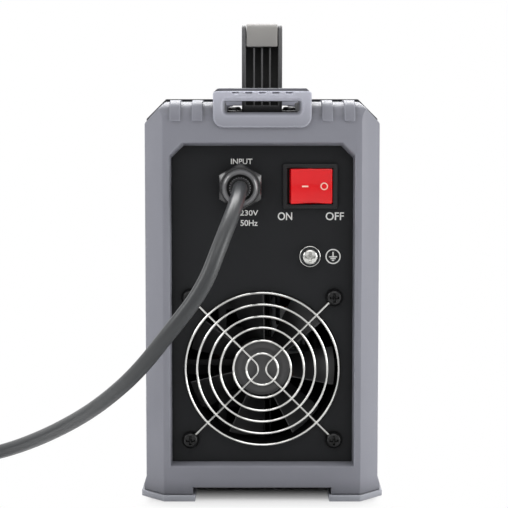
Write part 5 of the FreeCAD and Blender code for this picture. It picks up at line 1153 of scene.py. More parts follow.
@dataclass
class MainsLead:
    """Mains cord from the gland to its put-away coil and plug.

    Args:
        radius: Radius of the sheath, in millimetres.
        exit: Where the cord leaves the gland.
        coil_centre: Middle of the coil on the floor.
        coil_outer: Radius of the outermost turn.
        pitch: Step from turn to turn.
        layer: Step from the lower to the upper layer.
        inset: How much the reversing turn draws in.
        plug_level: Height of the plug's axis.
        floor_gap: Gap between the floor and the sheath.
        inward: Half turns of the lower layer before it draws in.
        outward: Half turns of the upper layer.
        steps: Control points of each half turn.
        reach_factor: How far out these points lie beside the coil's radius, so that the curve meets it.
    """

    radius: float = 4.2
    exit: Point = (-12.5, -159.7, 180.4)
    coil_centre: tuple[float, float] = (-256.0, -18.0)
    coil_outer: float = 57.5
    pitch: float = 10.2
    layer: float = 9.2
    inset: float = 1.5
    plug_level: float = 18.3
    floor_gap: float = 0.3
    inward: int = 4
    outward: int = 5
    steps: int = 12
    reach_factor: float = 1.004

    ROUTE = (
        (-12.5, -176.0, 180.4), (-14.2, -199.0, 173.4), (-21.6, -219.4, 155.2), (-31.0, -229.2, 130.8),
        (-49.1, -227.8, 107.6), (-66.8, -215.3, 84.6), (-86.5, -192.5, 65.2), (-105.8, -165.1, 49.3),
        (-130.4, -131.9, 32.6), (-155.8, -105.7, 19.5), (-188.1, -84.9, 8.9), (-221.5, -75.5, 4.5),
    )

    def stops(self) -> list[tuple[float, float]]:
        """Radius and height of the coil at each half turn."""
        step = self.pitch / 2
        radius, level = self.coil_outer, self.radius + self.floor_gap
        stops = [(radius, level)]
        for _ in range(self.inward):
            radius -= step
            stops.append((radius, level))
        radius -= step
        stops.append((radius - self.inset, level))
        level += self.layer
        stops.append((radius - self.inset, level))
        for _ in range(self.outward):
            radius += step
            stops.append((radius, level))
        stops.append((radius + 2 * step, self.plug_level))
        return stops

    def line(self) -> list[Point]:
        """Control points of the whole cord, in millimetres."""
        stops = self.stops()
        middle_x, middle_y = self.coil_centre
        landing = (middle_x + 2 * self.radius, middle_y - self.coil_outer, self.radius + self.floor_gap)
        points = [self.exit, *self.ROUTE, landing]
        for number, ((radius, level), (after, above)) in enumerate(zip(stops, stops[1:])):
            for step in range(1, self.steps + 1):
                share = (step - 0.5) / self.steps
                angle = -math.pi / 2 - math.pi * (number + share)
                smooth = share * share * (3 - 2 * share)
                reach = (radius + (after - radius) * share) * self.reach_factor
                points.append((middle_x + reach * math.cos(angle), middle_y + reach * math.sin(angle),
                               level + (above - level) * smooth))
        last_radius, last_level = stops[-1]
        points.append((middle_x, middle_y - last_radius, last_level))
        points.append((middle_x - 2 * self.radius, middle_y - last_radius, last_level))
        return points

    def build(self, shop: Workshop) -> None:
        """Lay the cord in place of its CAD solids.

        Args:
            shop: The workshop.
        """
        curve = bpy.data.curves.new("mains_lead", "CURVE")
        curve.dimensions = "3D"
        curve.bevel_depth = self.radius * MM
        curve.bevel_resolution = 5
        curve.use_fill_caps = True
        spline = curve.splines.new("NURBS")
        line = self.line()
        spline.points.add(len(line) - 1)
        for point, place in zip(spline.points, line):
            point.co = (*(value * MM for value in place), 1.0)
        spline.order_u = 3
        spline.use_endpoint_u = True
        spline.resolution_u = 10
        curve.materials.append(shop.materials["cord_grey"])
        item = bpy.data.objects.new("mains_lead", curve)
        bpy.context.scene.collection.objects.link(item)
        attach(item, "case")
        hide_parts("mains_cord", "mains_cord_coil")
        self.length(line)

    @staticmethod
    def length(line: Sequence[Point]) -> float:
        """Length of the smooth curve that the control points make, in metres."""
        corners = [Vector(point) * MM for point in line]
        between = [(near + far) / 2 for near, far in zip(corners[1:-1], corners[2:-1])]
        middles = [corners[0], *between, corners[-1]]
        total, steps = 0.0, 8
        for start, corner, end in zip(middles, corners[1:-1], middles[1:]):
            last = start
            for step in range(1, steps + 1):
                share = step / steps
                here = start * (1 - share) ** 2 + corner * 2 * share * (1 - share) + end * share ** 2
                total += (here - last).length
                last = here
        return total


@dataclass
class CaseShell:
    """Bezels, cover, door, handle and feet with rounded edges.

    Args:
        bezel_round: Rounding of the bezels' edges, in millimetres.
        sheet_round: Rounding of the sheet metal's edges.
        handle_round: Rounding of the handle's edges.
        pad_round: Rounding of the foot pads' edges.
    """

    bezel_round: float = 0.8
    sheet_round: float = 0.25
    handle_round: float = 0.6
    pad_round: float = 0.45

    LOOP = (
        Zone((0, 0, 233.0), (24, 160, 234.25), 0.0),
        Zone((0, 149, 234.25), (30, 160, 234.7), 0.25),
        Zone((0, 149, 219.0), (24.5, 160, 231.5), 0.3),
        Zone((0, 149, 213.5), (30, 160, 237), 1.0),
    )

    def build(self, shop: Workshop) -> None:
        """Round the edges of the case's pieces.

        Args:
            shop: The workshop.
        """
        for node in ("rear_bezel", "front_bezel"):
            shop.soften(node, self.bezel_round, 3, zones=self.LOOP)
        shop.soften("foot_pads", self.pad_round)
        shop.soften("handle_frame", self.handle_round)
        shop.soften("handle_grip", self.handle_round)
        for node in ("top_cover", "side_door", "hinge_leaves", "door_latch"):
            shop.soften(node, self.sheet_round, segments=1)
        # The base tray and the divider wall take a near-black finish in place of their own: painted shade
        # that darkens the machine's underside and the inside seen through the fan.
        for node in ("base_tray", "divider_wall"):
            shop.soften(node, self.sheet_round, segments=1, finish="frame_black")


@dataclass
class RearPrint:
    """Marks printed on the rear panel.

    Args:
        panel: The panel's face along Y, in millimetres.
        thickness: How far the print stands out.
        ring: Inner and outer radius of the earth mark's ring.
        stroke: Half of the width of the earth mark's stem.
        bar: Half of the height of its bars.
    """

    panel: float = -144.0
    thickness: float = PRINT_DEPTH
    ring: tuple[float, float] = (3.65, 4.35)
    stroke: float = 0.4
    bar: float = 0.36

    LETTERS = (
        ("INPUT", -17.8, -5.6, 193.4, 196.5),
        ("230V", -12.6, -2.3, 164.1, 167.2),
        ("50Hz", -12.4, -2.6, 158.2, 161.6),
        ("ON", 8.9, 17.1, 161.5, 166.0),
        ("OFF", 36.2, 46.6, 161.5, 166.0),
    )

    def build(self, shop: Workshop) -> None:
        """Print every mark.

        Args:
            shop: The workshop.
        """
        marks = [words(*line, self.thickness) for line in self.LETTERS]
        marks.append(self.earth_mark(40.5, 140.7))
        mesh = moved(joined("rear_print", marks), y=self.panel, turn=Facing.REAR.value)
        shop.piece("rear_print", mesh, "case", "print_white")

    def earth_mark(self, x: float, z: float) -> bpy.types.Mesh:
        """Protective earth symbol in a ring.

        Args:
            x: Middle of the ring.
            z: Middle of the ring.

        Returns:
            The symbol on the XY plane.
        """
        top = self.thickness
        inner, outer = self.ring
        parts = [turned("ring", [(inner, 0.0), (outer, 0.0), (outer, top), (inner, top)], 48)]
        parts.append(block("stem", (-self.stroke, -0.2, 0), (self.stroke, 2.6, top)))
        for half, height in ((2.3, -0.2), (1.5, -1.2), (0.7, -2.2)):
            parts.append(block("bar", (-half, height - self.bar, 0), (half, height + self.bar, top)))
        return moved(joined("earth_mark", parts), x, z)


@dataclass
class FanGuard:
    """Chrome rings of the finger guard with their two bent support wires, in millimetres.

    Args:
        centre_z: Height of the rings' middle.
        ring_y: Where the rings lie along Y.
        support_y: Where the support wires lie along Y.
        eyelet_y: Where their eyelets lie along Y.
        wire: Radius of the wire.
        corner: Distance of the eyelets from the middle, across and up.
        apex: Radius of each support's bend round the middle.
        eyelet: Radius of an eyelet.
        rings: Radius of each ring.
        bend_steps: Steps round a bend.
    """

    centre_z: float = 76.0
    ring_y: float = -146.2
    support_y: float = -144.85
    eyelet_y: float = -144.82
    wire: float = 0.66
    corner: float = 41.25
    apex: float = 5.5
    eyelet: float = 3.0
    rings: tuple[float, ...] = (9.1, 16.5, 24.0, 30.4, 37.3, 44.0)
    bend_steps: int = 8

    def build(self, shop: Workshop, book: PatternBook) -> None:
        """Make the guard in place of its CAD node.

        Args:
            shop: The workshop.
            book: The repeating rules.
        """
        meshes = []
        for radius in self.rings:
            ring = book.wire_ring.run(empty_mesh(), shop.materials["chrome"], Radius=radius * MM,
                                      Wire_Radius=self.wire * MM)
            meshes.append(moved(ring, 0.0, self.ring_y, self.centre_z, Facing.REAR.value))
        for side in (-1, 1):
            meshes.append(self.support(side))
            for level in (-1, 1):
                loop = book.wire_ring.run(empty_mesh(), shop.materials["chrome"], Radius=self.eyelet * MM,
                                          Wire_Radius=self.wire * MM, Steps=40)
                height = self.centre_z + level * self.corner
                meshes.append(moved(loop, side * self.corner, self.eyelet_y, height, Facing.REAR.value))
        wires = joined("fan_guard_wires", meshes)
        shop.piece("fan_guard_wires", wires, "case", "chrome", replaces="fan_guard")

    def support(self, side: int) -> bpy.types.Mesh:
        """One support wire, bent round the middle.

        Args:
            side: Minus one for the left wire, one for the right.

        Returns:
            The wire as a mesh.
        """
        end = self.corner - self.eyelet * 0.7
        trim = self.apex / math.sqrt(2)
        line = [(side * end, end), (side * trim, trim)]
        centre = self.apex * math.sqrt(2)
        for step in range(1, self.bend_steps):
            angle = math.radians(45 - 90 * step / self.bend_steps)
            line.append((side * (centre - self.apex * math.cos(angle)), self.apex * math.sin(angle)))
        line += [(side * trim, -trim), (side * end, -end)]
        return wire_mesh([(x, self.support_y, self.centre_z + z) for x, z in line], self.wire)


@dataclass
class ScrewHead:
    """Pan head with a cross recess, its seat on z = 0 and its axis along Z.

    Args:
        radius: Radius of the head.
        height: Height of the head.
        steps: Steps round the head, a multiple of four.
        arm_share: Reach of the cross, as a share of the radius.
        slot_share: Half of the cross's width, as a share of the radius.
        depth_share: Depth of the cross, as a share of the height.
        floor_share: Size of the cross's floor beside its mouth.
    """

    radius: float
    height: float = 2.3
    steps: int = 48
    arm_share: float = 0.62
    slot_share: float = 0.19
    depth_share: float = 0.7
    floor_share: float = 0.7

    RIMS = ((1.0, 0.0), (1.0, 0.4), (0.94, 0.68), (0.8, 0.9))

    def mesh(self) -> bpy.types.Mesh:
        """Make the head, closed all round."""
        arm, cut = self.radius * self.arm_share, self.radius * self.slot_share
        rims = [(self.radius * reach, self.height * level) for reach, level in self.RIMS]
        rims.append((arm, self.height))
        vertices, faces = [(0.0, 0.0, 0.0)], []
        for reach, level in rims:
            for step in range(self.steps):
                angle = 2 * math.pi * step / self.steps
                vertices.append((reach * math.cos(angle), reach * math.sin(angle), level))
        for step in range(self.steps):
            following = (step + 1) % self.steps
            faces.append((0, 1 + following, 1 + step))
            for ring in range(len(self.RIMS)):
                low, high = 1 + ring * self.steps, 1 + (ring + 1) * self.steps
                faces.append((low + step, low + following, high + following, high + step))
        self._recess(vertices, faces, arm, cut)
        return mesh_of("screw_head", vertices, faces)

    def _recess(self, vertices: list[Point], faces: list[tuple[int, ...]], arm: float, cut: float) -> None:
        """Close the top with a cross-shaped hollow.

        Args:
            vertices: Points so far, added to.
            faces: Faces so far, added to.
            arm: Reach of the cross.
            cut: Half of its width.
        """
        top = 1 + len(self.RIMS) * self.steps
        bottom = self.height * (1 - self.depth_share)
        share = self.floor_share
        quarter = self.steps // 4
        span = max(1, round(math.asin(cut / arm) / (2 * math.pi / self.steps)))
        floor = len(vertices)
        for turn in range(4):
            angle = math.pi / 2 * turn
            along, across = (math.cos(angle), math.sin(angle)), (-math.sin(angle), math.cos(angle))
            for reach, half, level in ((cut, cut, self.height), (arm * share, cut * share, bottom)):
                for side in (-1, 1):
                    vertices.append((along[0] * reach + side * across[0] * half,
                                     along[1] * reach + side * across[1] * half, level))
        centre = len(vertices)
        vertices.append((0.0, 0.0, bottom))
        for turn in range(4):
            here, after = floor + turn * 4, floor + (turn + 1) % 4 * 4
            start = turn * quarter
            low_rim, high_rim = top + (start - span) % self.steps, top + (start + span) % self.steps
            rim = [top + (start + offset) % self.steps for offset in range(span, quarter - span + 1)]
            mouth = [top + (start + offset) % self.steps for offset in range(-span, span + 1)]
            faces.append((here + 1, *reversed(rim)))
            faces.append((low_rim, here, here + 2))
            faces.append((high_rim, here + 3, here + 1))
            faces.append((*mouth, here + 3, here + 2))
            faces.append((here + 2, here + 3, centre))
            faces.append((here + 3, here + 1, after, after + 2, centre))


@dataclass
class PanScrews:
    """The groups of four pan-head screws."""

    GROUPS = (
        ("fan_screws", (-41.25, -145.74, 34.75), 4.3, Facing.REAR, (82.5, 0, 0), (0, 82.5, 0)),
        ("torch_screws", (44.0, 148.0, 58.0), 3.12, Facing.FRONT, (34.0, 0, 0), (0, 34.0, 0)),
        ("handle_screws", (-16.2, -98.0, 224.0), 3.9, Facing.UP, (32.4, 0, 0), (0, 196.0, 0)),
    )

    def build(self, shop: Workshop, book: PatternBook) -> None:
        """Put recessed heads in place of the plain ones.

        Args:
            shop: The workshop.
            book: The repeating rules.
        """
        for name, place, radius, facing, column, row in self.GROUPS:
            mesh = book.grid.run(ScrewHead(radius).mesh(), shop.materials["screw_black"], Columns=2, Rows=2,
                                 Column_Step=[value * MM for value in column],
                                 Row_Step=[value * MM for value in row])
            moved(mesh, *place, facing.value)
            shop.piece(f"{name}_heads", mesh, "case", "screw_black", replaces=name)


@dataclass
class EarthPoint:
    """Earth screw on its toothed and flat washers, in millimetres.

    Args:
        x: Axis of the screw across the panel.
        z: Height of the axis.
        panel: The panel's face along Y.
        flat_radius: Radius of the flat washer.
        flat_height: Its top above the panel.
        flat_bore: Radius of its hole.
        edge_wire: Half of the thickness of its bright rim.
        edge_level: Height of the rim's middle.
        lock_bore: Radius of the toothed washer's hole.
        lock_ring: Outer radius of its plain ring.
        lock_height: Its thickness.
        teeth: Number of its teeth.
        tooth_reach: Radius that they reach.
        tooth_depth: Distance from there to a tooth's middle.
        tooth_turn: Twist of a tooth in degrees.
        head: Radius of the screw's head.
        head_seat: Height of the head's seat above the panel.
    """

    x: float = 27.3
    z: float = 140.71
    panel: float = -144.0
    flat_radius: float = 6.05
    flat_height: float = 1.2
    flat_bore: float = 2.8
    edge_wire: float = 0.35
    edge_level: float = 0.55
    lock_bore: float = 2.7
    lock_ring: float = 3.7
    lock_height: float = 0.9
    teeth: int = 10
    tooth_reach: float = 4.9
    tooth_depth: float = 0.7
    tooth_turn: float = 24.0
    head: float = 4.5
    head_seat: float = 2.4

    TOOTH = ((-0.75, -0.5), (0.75, -0.75), (0.85, 0.75), (-0.75, 0.5))

    def build(self, shop: Workshop, book: PatternBook) -> None:
        """Make the screw and its washers in place of their CAD nodes.

        Args:
            shop: The workshop.
            book: The repeating rules.
        """
        chrome = shop.materials["chrome"]
        rim, top, hole = self.flat_radius, self.flat_height, self.flat_bore
        flat = turned("flat_washer", [
            (hole, 0.0), (rim - 0.5, 0.0), (rim - 0.5, top - 0.2), (hole, top - 0.2)], 64)
        edge = book.wire_ring.run(empty_mesh(), chrome, Radius=(rim - self.edge_wire) * MM,
                                  Wire_Radius=self.edge_wire * MM)
        moved(edge, z=self.edge_level)
        pieces = (("earth_washer_flat", flat, "washer_dark"), ("earth_washer_rim", edge, "chrome"),
                  ("earth_washer_toothed", self.lock_washer(book, chrome), "washer_dark"))
        for name, mesh, finish in pieces:
            moved(mesh, self.x, self.panel, self.z, Facing.REAR.value)
            shop.piece(name, mesh, "case", finish, replaces="earth_washers")
        head = ScrewHead(self.head).mesh()
        moved(head, self.x, self.panel - self.head_seat, self.z, Facing.REAR.value)
        shop.piece("earth_screw_head", head, "case", "chrome", replaces="earth_screw")

    def lock_washer(self, book: PatternBook, material: bpy.types.Material) -> bpy.types.Mesh:
        """Toothed washer on top of the flat one.

        Args:
            book: The repeating rules.
            material: Material of the teeth.

        Returns:
            The washer with its axis along Z.
        """
        low, high = self.flat_height - 0.2, self.flat_height + self.lock_height
        tooth = prism("tooth", self.TOOTH, 0.7)
        tooth.transform(Matrix.Rotation(math.radians(self.tooth_turn), 4, "X"))
        teeth = book.ring.run(moved(tooth, z=self.flat_height + 0.1), material, Count=self.teeth,
                              Radius=(self.tooth_reach - self.tooth_depth) * MM)
        middle = turned("lock_washer", [
            (self.lock_bore, low), (self.lock_ring, low), (self.lock_ring, high), (self.lock_bore, high)], 48)
        return joined("lock_washer", [middle, teeth])


@dataclass
class MainsInlet:
    """Cable gland: chamfered nut, domed cap, and the seal whose claws grip the cord.

    Args:
        x: Axis of the gland across the panel, in millimetres.
        panel: The panel's face along Y.
        z: Height of the axis.
        flats: Width of the nut across its flats.
        flange: Height of the nut above the panel.
        reach: Height of the cap.
        dome: Radius of the cap.
        mouth: Radius of the cap's mouth.
        seal: Radius where the claws grip.
        bore: Radius of the hole through the nut.
        shank: Radius of the thread through the panel.
        shank_length: Length of that thread.
        cord: Radius of the hole for the cord.
        cut_angle: Slope of the nut's turned-off corners in degrees.
        claws: Number of claws.
        steps: Steps round the nut.
    """

    x: float = -12.5
    panel: float = -144.0
    z: float = 180.41
    flats: float = 24.0
    flange: float = 5.0
    reach: float = 14.5
    dome: float = 10.4
    mouth: float = 7.4
    seal: float = 5.8
    bore: float = 6.5
    shank: float = 10.0
    shank_length: float = 11.2
    cord: float = 4.2
    cut_angle: float = 32.0
    claws: int = 26
    steps: int = 96

    def build(self, shop: Workshop, book: PatternBook) -> None:
        """Make the gland in place of its CAD nodes.

        Args:
            shop: The workshop.
            book: The repeating rules.
        """
        claw = moved(prism("claw", [(-0.2, -0.3), (0.2, -0.22), (0.2, 0.22), (-0.2, 0.3)], 2.6),
                     z=self.reach - 1.9)
        claws = book.ring.run(claw, shop.materials["claw_grey"], Count=self.claws,
                              Radius=(self.seal + 0.1) * MM)
        body = joined("gland_nut", [self.tube(), self.nut()])
        pieces = (("gland_nut", body, "nut_black", "gland_body"),
                  ("gland_dome", self.cap(), "cap_black", "gland_cap"),
                  ("gland_collar", self.collar(), "seal_grey", "gland_seal"),
                  ("gland_claws", claws, "claw_grey", "gland_seal"))
        for name, mesh, finish, node in pieces:
            moved(mesh, self.x, self.panel, self.z, Facing.REAR.value)
            shop.piece(name, mesh, "case", finish, replaces=node)
        shop.soften("gland_locknut", 0.4)

    def tube(self) -> bpy.types.Mesh:
        """Thread through the panel and the neck under the cap."""
        bore, shank, neck = self.bore, self.shank, self.dome - 1.2
        low, high = -self.shank_length, self.flange + 1.2
        return turned("shank", [
            (bore, low), (shank, low), (shank, 0), (shank, 0.2), (neck, 0.2), (neck, high), (bore, high)], 64)

    def cap(self) -> bpy.types.Mesh:
        """Cap with rounded edges and an open mouth."""
        low, high, mouth, dome = self.flange + 1.28, self.reach, self.mouth, self.dome
        return turned("gland_dome", [
            (mouth, low), (dome - 0.3, low), (dome, low + 0.3), (dome, high - 2.6), (dome - 0.25, high - 1.5),
            (dome - 0.8, high - 0.6), (dome - 1.6, high), (mouth + 0.5, high), (mouth + 0.1, high - 0.3),
            (mouth, high - 0.8)], 96)

    def collar(self) -> bpy.types.Mesh:
        """Seal round the cord, from inside the cap to its mouth."""
        cord, mouth, lip, high = self.cord, self.mouth, self.seal - 0.1, self.reach
        return turned("gland_collar", [
            (cord, high - 6), (mouth, high - 6), (mouth, high - 3.6), (lip, high - 3.6),
            (lip, high + 0.6), (self.seal - 0.5, high + 1.1), (cord, high + 1.1)], 64)

    def nut(self) -> bpy.types.Mesh:
        """Hexagon with its front corners turned off."""
        steps, flat = self.steps, self.flats / 2
        vertices, faces = [], []
        for level, inset in ((0.2, 0.0), (None, 0.0), (None, 0.35), (self.flange, None), (self.flange, -1.0)):
            for step in range(steps):
                angle = 2 * math.pi * step / steps
                reach = flat / math.cos((angle + math.pi / 6) % (math.pi / 3) - math.pi / 6)
                cut = self.flange - max(reach - flat + 0.5, 0.0) * math.tan(math.radians(self.cut_angle))
                if inset is None:
                    reach, height = flat - 0.5, level
                elif inset < 0:
                    reach, height = self.bore, level
                elif level is None:
                    reach, height = reach - inset, cut if inset else cut - 0.35
                else:
                    height = level
                vertices.append((reach * math.cos(angle), reach * math.sin(angle), height))
        for ring in range(4):
            for step in range(steps):
                near, after = ring * steps + step, ring * steps + (step + 1) % steps
                faces.append((near, after, after + steps, near + steps))
        for step in range(steps):
            after = (step + 1) % steps
            faces.append((after, step, 4 * steps + step, 4 * steps + after))
        return mesh_of("nut", vertices, faces)


@dataclass
class RockerSwitch:
    """Mains switch: housing, and the red rocker with a bar and a ring on its faces.

    Args:
        pivot: The rocker's axis, in millimetres.
        tilt: Angle of the rocker at rest in degrees.
        crest: Distance from the axis to the face's middle.
        slope: Slope of each half of the face in degrees.
        bar_x: Place of the bar along the rocker.
        ring_x: Place of the ring.
    """

    pivot: Point = (27.3, -143.0, 180.9)
    tilt: float = 9.0
    crest: float = 3.2
    slope: float = 9.46
    bar_x: float = -3.6
    ring_x: float = 7.3

    def build(self, shop: Workshop) -> None:
        """Round the switch's edges and print its marks on the rocker.

        Args:
            shop: The workshop.
        """
        shop.soften("switch_housing", 0.4)
        shop.soften("switch_rocker", 0.9, segments=4)
        bar = block("bar", (-1.9, -0.45, -0.05), (1.9, 0.45, 0.1))
        ring = turned("ring", [(1.5, -0.05), (2.15, -0.05), (2.15, 0.1), (1.5, 0.1)], 40)
        marks = [self.on_face(bar, self.bar_x), self.on_face(ring, self.ring_x)]
        shop.piece("rocker_marks", joined("rocker_marks", marks), "rocker", "mark_cream")

    def on_face(self, mark: bpy.types.Mesh, x: float) -> bpy.types.Mesh:
        """Lay a mark on the rocker's sloping face.

        Args:
            mark: Mark on the XY plane.
            x: Its place along the rocker.

        Returns:
            The mark in its place at rest.
        """
        lean = math.radians(self.slope) * (1 if x < 0 else -1)
        height = self.crest + abs(x) * math.tan(math.radians(self.slope))
        place = Matrix.Translation((x * MM, -height * MM, 0.0))
        face = place @ Matrix.Rotation(lean, 4, "Z") @ Facing.REAR.value
        return moved(mark, *self.pivot, Matrix.Rotation(math.radians(self.tilt), 4, "Z") @ face)


@dataclass
class CoolingFan:
    """Axial fan: frame with its struts, and a rotor with seven cambered blades.

    Args:
        centre_z: Height of the axis, in millimetres.
        front_y: The hub's face along Y.
        depth: Length of the rotor.
        hub: Radius of the hub.
        tip: Radius of the blades' tips.
        thickness: Thickness of a blade.
        camber: How far a blade bulges.
        root: How far a blade starts inside the hub.
        blades: Number of blades.
        steps: Steps along a blade and across it.
    """

    centre_z: float = 76.0
    front_y: float = -141.7
    depth: float = 20.4
    hub: float = 16.0
    tip: float = 42.2
    thickness: float = 1.0
    camber: float = 1.7
    root: float = 1.2
    blades: int = 7
    steps: int = 12

    def build(self, shop: Workshop, book: PatternBook) -> None:
        """Make the rotor in place of its CAD node and round the frame.

        Args:
            shop: The workshop.
            book: The repeating rules.
        """
        hub = turned("hub", [(0, 0.2), (10.6, 0.2), (11.0, 0), (14.6, 0), (15.6, 0.4), (self.hub, 1.4),
                             (self.hub, self.depth), (1.55, self.depth), (1.55, 11.8), (0, 11.8)], 96)
        blades = book.ring.run(self.blade(), shop.materials["fan_black"], Count=self.blades, Radius=0.0)
        rotor = moved(joined("rotor", [hub, blades]), 0.0, self.front_y, self.centre_z, Facing.INWARD.value)
        shop.piece("rotor_with_blades", rotor, "fan", "fan_black", replaces="fan_rotor")
        shop.soften("fan_frame", 0.3, finish="frame_black")

    def blade(self) -> bpy.types.Mesh:
        """One blade along X, twisted and cambered, with a round tip."""
        lengthwise = chordwise = self.steps
        vertices, faces = [], []
        for step in range(lengthwise + 1):
            share = step / lengthwise
            reach = self.hub - self.root + (self.tip - self.hub + self.root) * share
            sweep, margin = 4.5 + 5.5 * share, 1.0 + 2.0 * share
            for side in (-0.5, 0.5):
                for column in range(chordwise + 1):
                    along = 2 * column / chordwise - 1
                    edge = 1 - 0.6 * along ** 4
                    across = sweep * along + self.camber * (1 - along ** 2) + side * self.thickness * edge
                    height = self.depth / 2 - (self.depth / 2 - margin) * along
                    vertices.append((math.sqrt(max(reach ** 2 - across ** 2, 0.0)), across, height))
        row = chordwise + 1
        for step in range(lengthwise):
            low, high = step * 2 * row, (step + 1) * 2 * row
            for column in range(chordwise):
                for face in (0, row):
                    faces.append((low + face + column, low + face + column + 1, high + face + column + 1,
                                  high + face + column))
            for column in (0, chordwise):
                faces.append((low + column, low + row + column, high + row + column, high + column))
        for base in (0, lengthwise * 2 * row):
            for column in range(chordwise):
                faces.append((base + column, base + column + 1, base + row + column + 1, base + row + column))
        return mesh_of("blade", vertices, faces)


@dataclass
class FrontControls:
    """Display, dials with their scales, and the push button.

    Args:
        panel: The panel's face along Y, in millimetres.
        display_z: Height of the display's middle.
        display_face: Its window's face along Y.
        dial_x: Distance of the dials from the middle.
        dial_z: Height of their axes.
        dial_top: Their tops along Y.
        marks: Number of marks on a scale.
        first_turn: Angle of the first mark in degrees.
        mark_turn: Angle between two marks.
        tick_reach: Radius of the scale's ticks.
        number_reach: Radius of its numbers.
        digit: Width and half of the height of the display's digits.
        digit_bar: Half of the width of their bars.
        digit_gap: Gap between two digits.
    """

    panel: float = 144.0
    display_z: float = 180.0
    display_face: float = 145.2
    dial_x: float = 26.0
    dial_z: float = 141.03
    dial_top: float = 159.0
    marks: int = 11
    first_turn: float = 240.0
    mark_turn: float = 30.0
    tick_reach: float = 15.4
    number_reach: float = 18.6
    digit: tuple[float, float] = (5.2, 5.6)
    digit_bar: float = 0.5
    digit_gap: float = 2.6

    SEGMENTS = {"0": "abcdef", "1": "bc", "2": "abged", "5": "afgcd", "8": "abcdefg"}
    LABELS = (
        ("V", 26.0, 160.2, 1.5, 1.6),
        ("m/min", -26.0, 160.2, 4.5, 1.6),
        ("+", 4.5, 102.05, 1.5, 1.6),
        ("-", 4.5, 48.04, 1.5, 0.35),
    )

    def build(self, shop: Workshop, book: PatternBook) -> None:
        """Dress the controls.

        Args:
            shop: The workshop.
            book: The repeating rules.
        """
        shop.soften("display_window", 0.4)
        digits = joined("digits", [self.reading("180", -29.0), self.reading("52", 9.0)])
        moved(digits, 0.0, self.display_face, self.display_z, Facing.FRONT.value)
        shop.piece("display_digits", digits, "case", "digit_red")
        prints = []
        for sign in (-1, 1):
            prints.extend(self.scale(shop, book, sign))
        prints.append(words("A", -2.0, 2.0, self.display_z - 2.6, self.display_z + 2.6))
        for text, x, z, half, rise in self.LABELS:
            prints.append(words(text, x - half, x + half, z - rise, z + rise))
        mesh = moved(joined("front_print", prints), y=self.panel, turn=Facing.FRONT.value)
        shop.piece("front_print", mesh, "case", "print_white")
        for node, x in (("wire_speed_knob", self.dial_x), ("voltage_knob", -self.dial_x)):
            shop.soften(node, 0.4, segments=3)
            pointer = moved(block("pointer", (3.0, -0.55, -0.2), (9.8, 0.55, 0.12)),
                            turn=Matrix.Rotation(math.radians(self.first_turn), 4, "Z"))
            moved(pointer, x, self.dial_top, self.dial_z, Facing.FRONT.value)
            shop.piece(f"{node}_pointer", pointer, shop.body[node], "print_white")
        shop.soften("mode_button", 0.35, segments=3)
        for node in ("torch_socket_flange", "torch_socket", "output_socket_bodies", "output_socket_contacts"):
            shop.soften(node, 0.4)

    def scale(self, shop: Workshop, book: PatternBook, sign: int) -> list[bpy.types.Mesh]:
        """Ticks and numbers round one dial, on the XY plane as seen from the front.

        Args:
            shop: The workshop.
            book: The repeating rules.
            sign: One for the dial on the left as seen from the front.

        Returns:
            The ticks and the numbers.
        """
        tick = block("tick", (-0.9, -0.22, 0.0), (0.9, 0.22, PRINT_DEPTH))
        ticks = book.ring.run(tick, shop.materials["print_white"], Count=round(360 / self.mark_turn),
                              Radius=self.tick_reach * MM, Used=self.marks)
        last_turn = self.first_turn - self.mark_turn * (self.marks - 1)
        ticks.transform(Matrix.Rotation(math.radians(last_turn), 4, "Z"))
        marks = [moved(ticks, sign * self.dial_x, self.dial_z)]
        for number in range(0, self.marks, 2):
            angle = math.radians(self.first_turn - self.mark_turn * number)
            x = sign * self.dial_x + self.number_reach * math.cos(angle)
            z = self.dial_z + self.number_reach * math.sin(angle)
            half = 1.6 if number >= 10 else 0.85
            marks.append(words(str(number), x - half, x + half, z - 1.2, z + 1.2))
        return marks

    def reading(self, text: str, left: float) -> bpy.types.Mesh:
        """Digits of seven bars each.

        Args:
            text: The digits.
            left: Left side of the first digit.

        Returns:
            The lit bars on the XY plane.
        """
        width, height = self.digit
        bar, right, up = self.digit_bar, width / 2, height / 2
        middles = {"a": (0, height), "g": (0, 0), "d": (0, -height), "b": (right, up),
                   "c": (right, -up), "f": (-right, up), "e": (-right, -up)}
        bars = []
        for place, digit in enumerate(text):
            for name in self.SEGMENTS[digit]:
                x, z = middles[name]
                across = name in "agd"
                half_x, half_z = (right - 0.4, bar) if across else (bar, up - 0.4)
                x += left + right + place * (width + self.digit_gap)
                near, far = (x - half_x, z - half_z, 0.0), (x + half_x, z + half_z, PRINT_DEPTH)
                bars.append(block("bar", near, far))
        return joined("reading", bars)


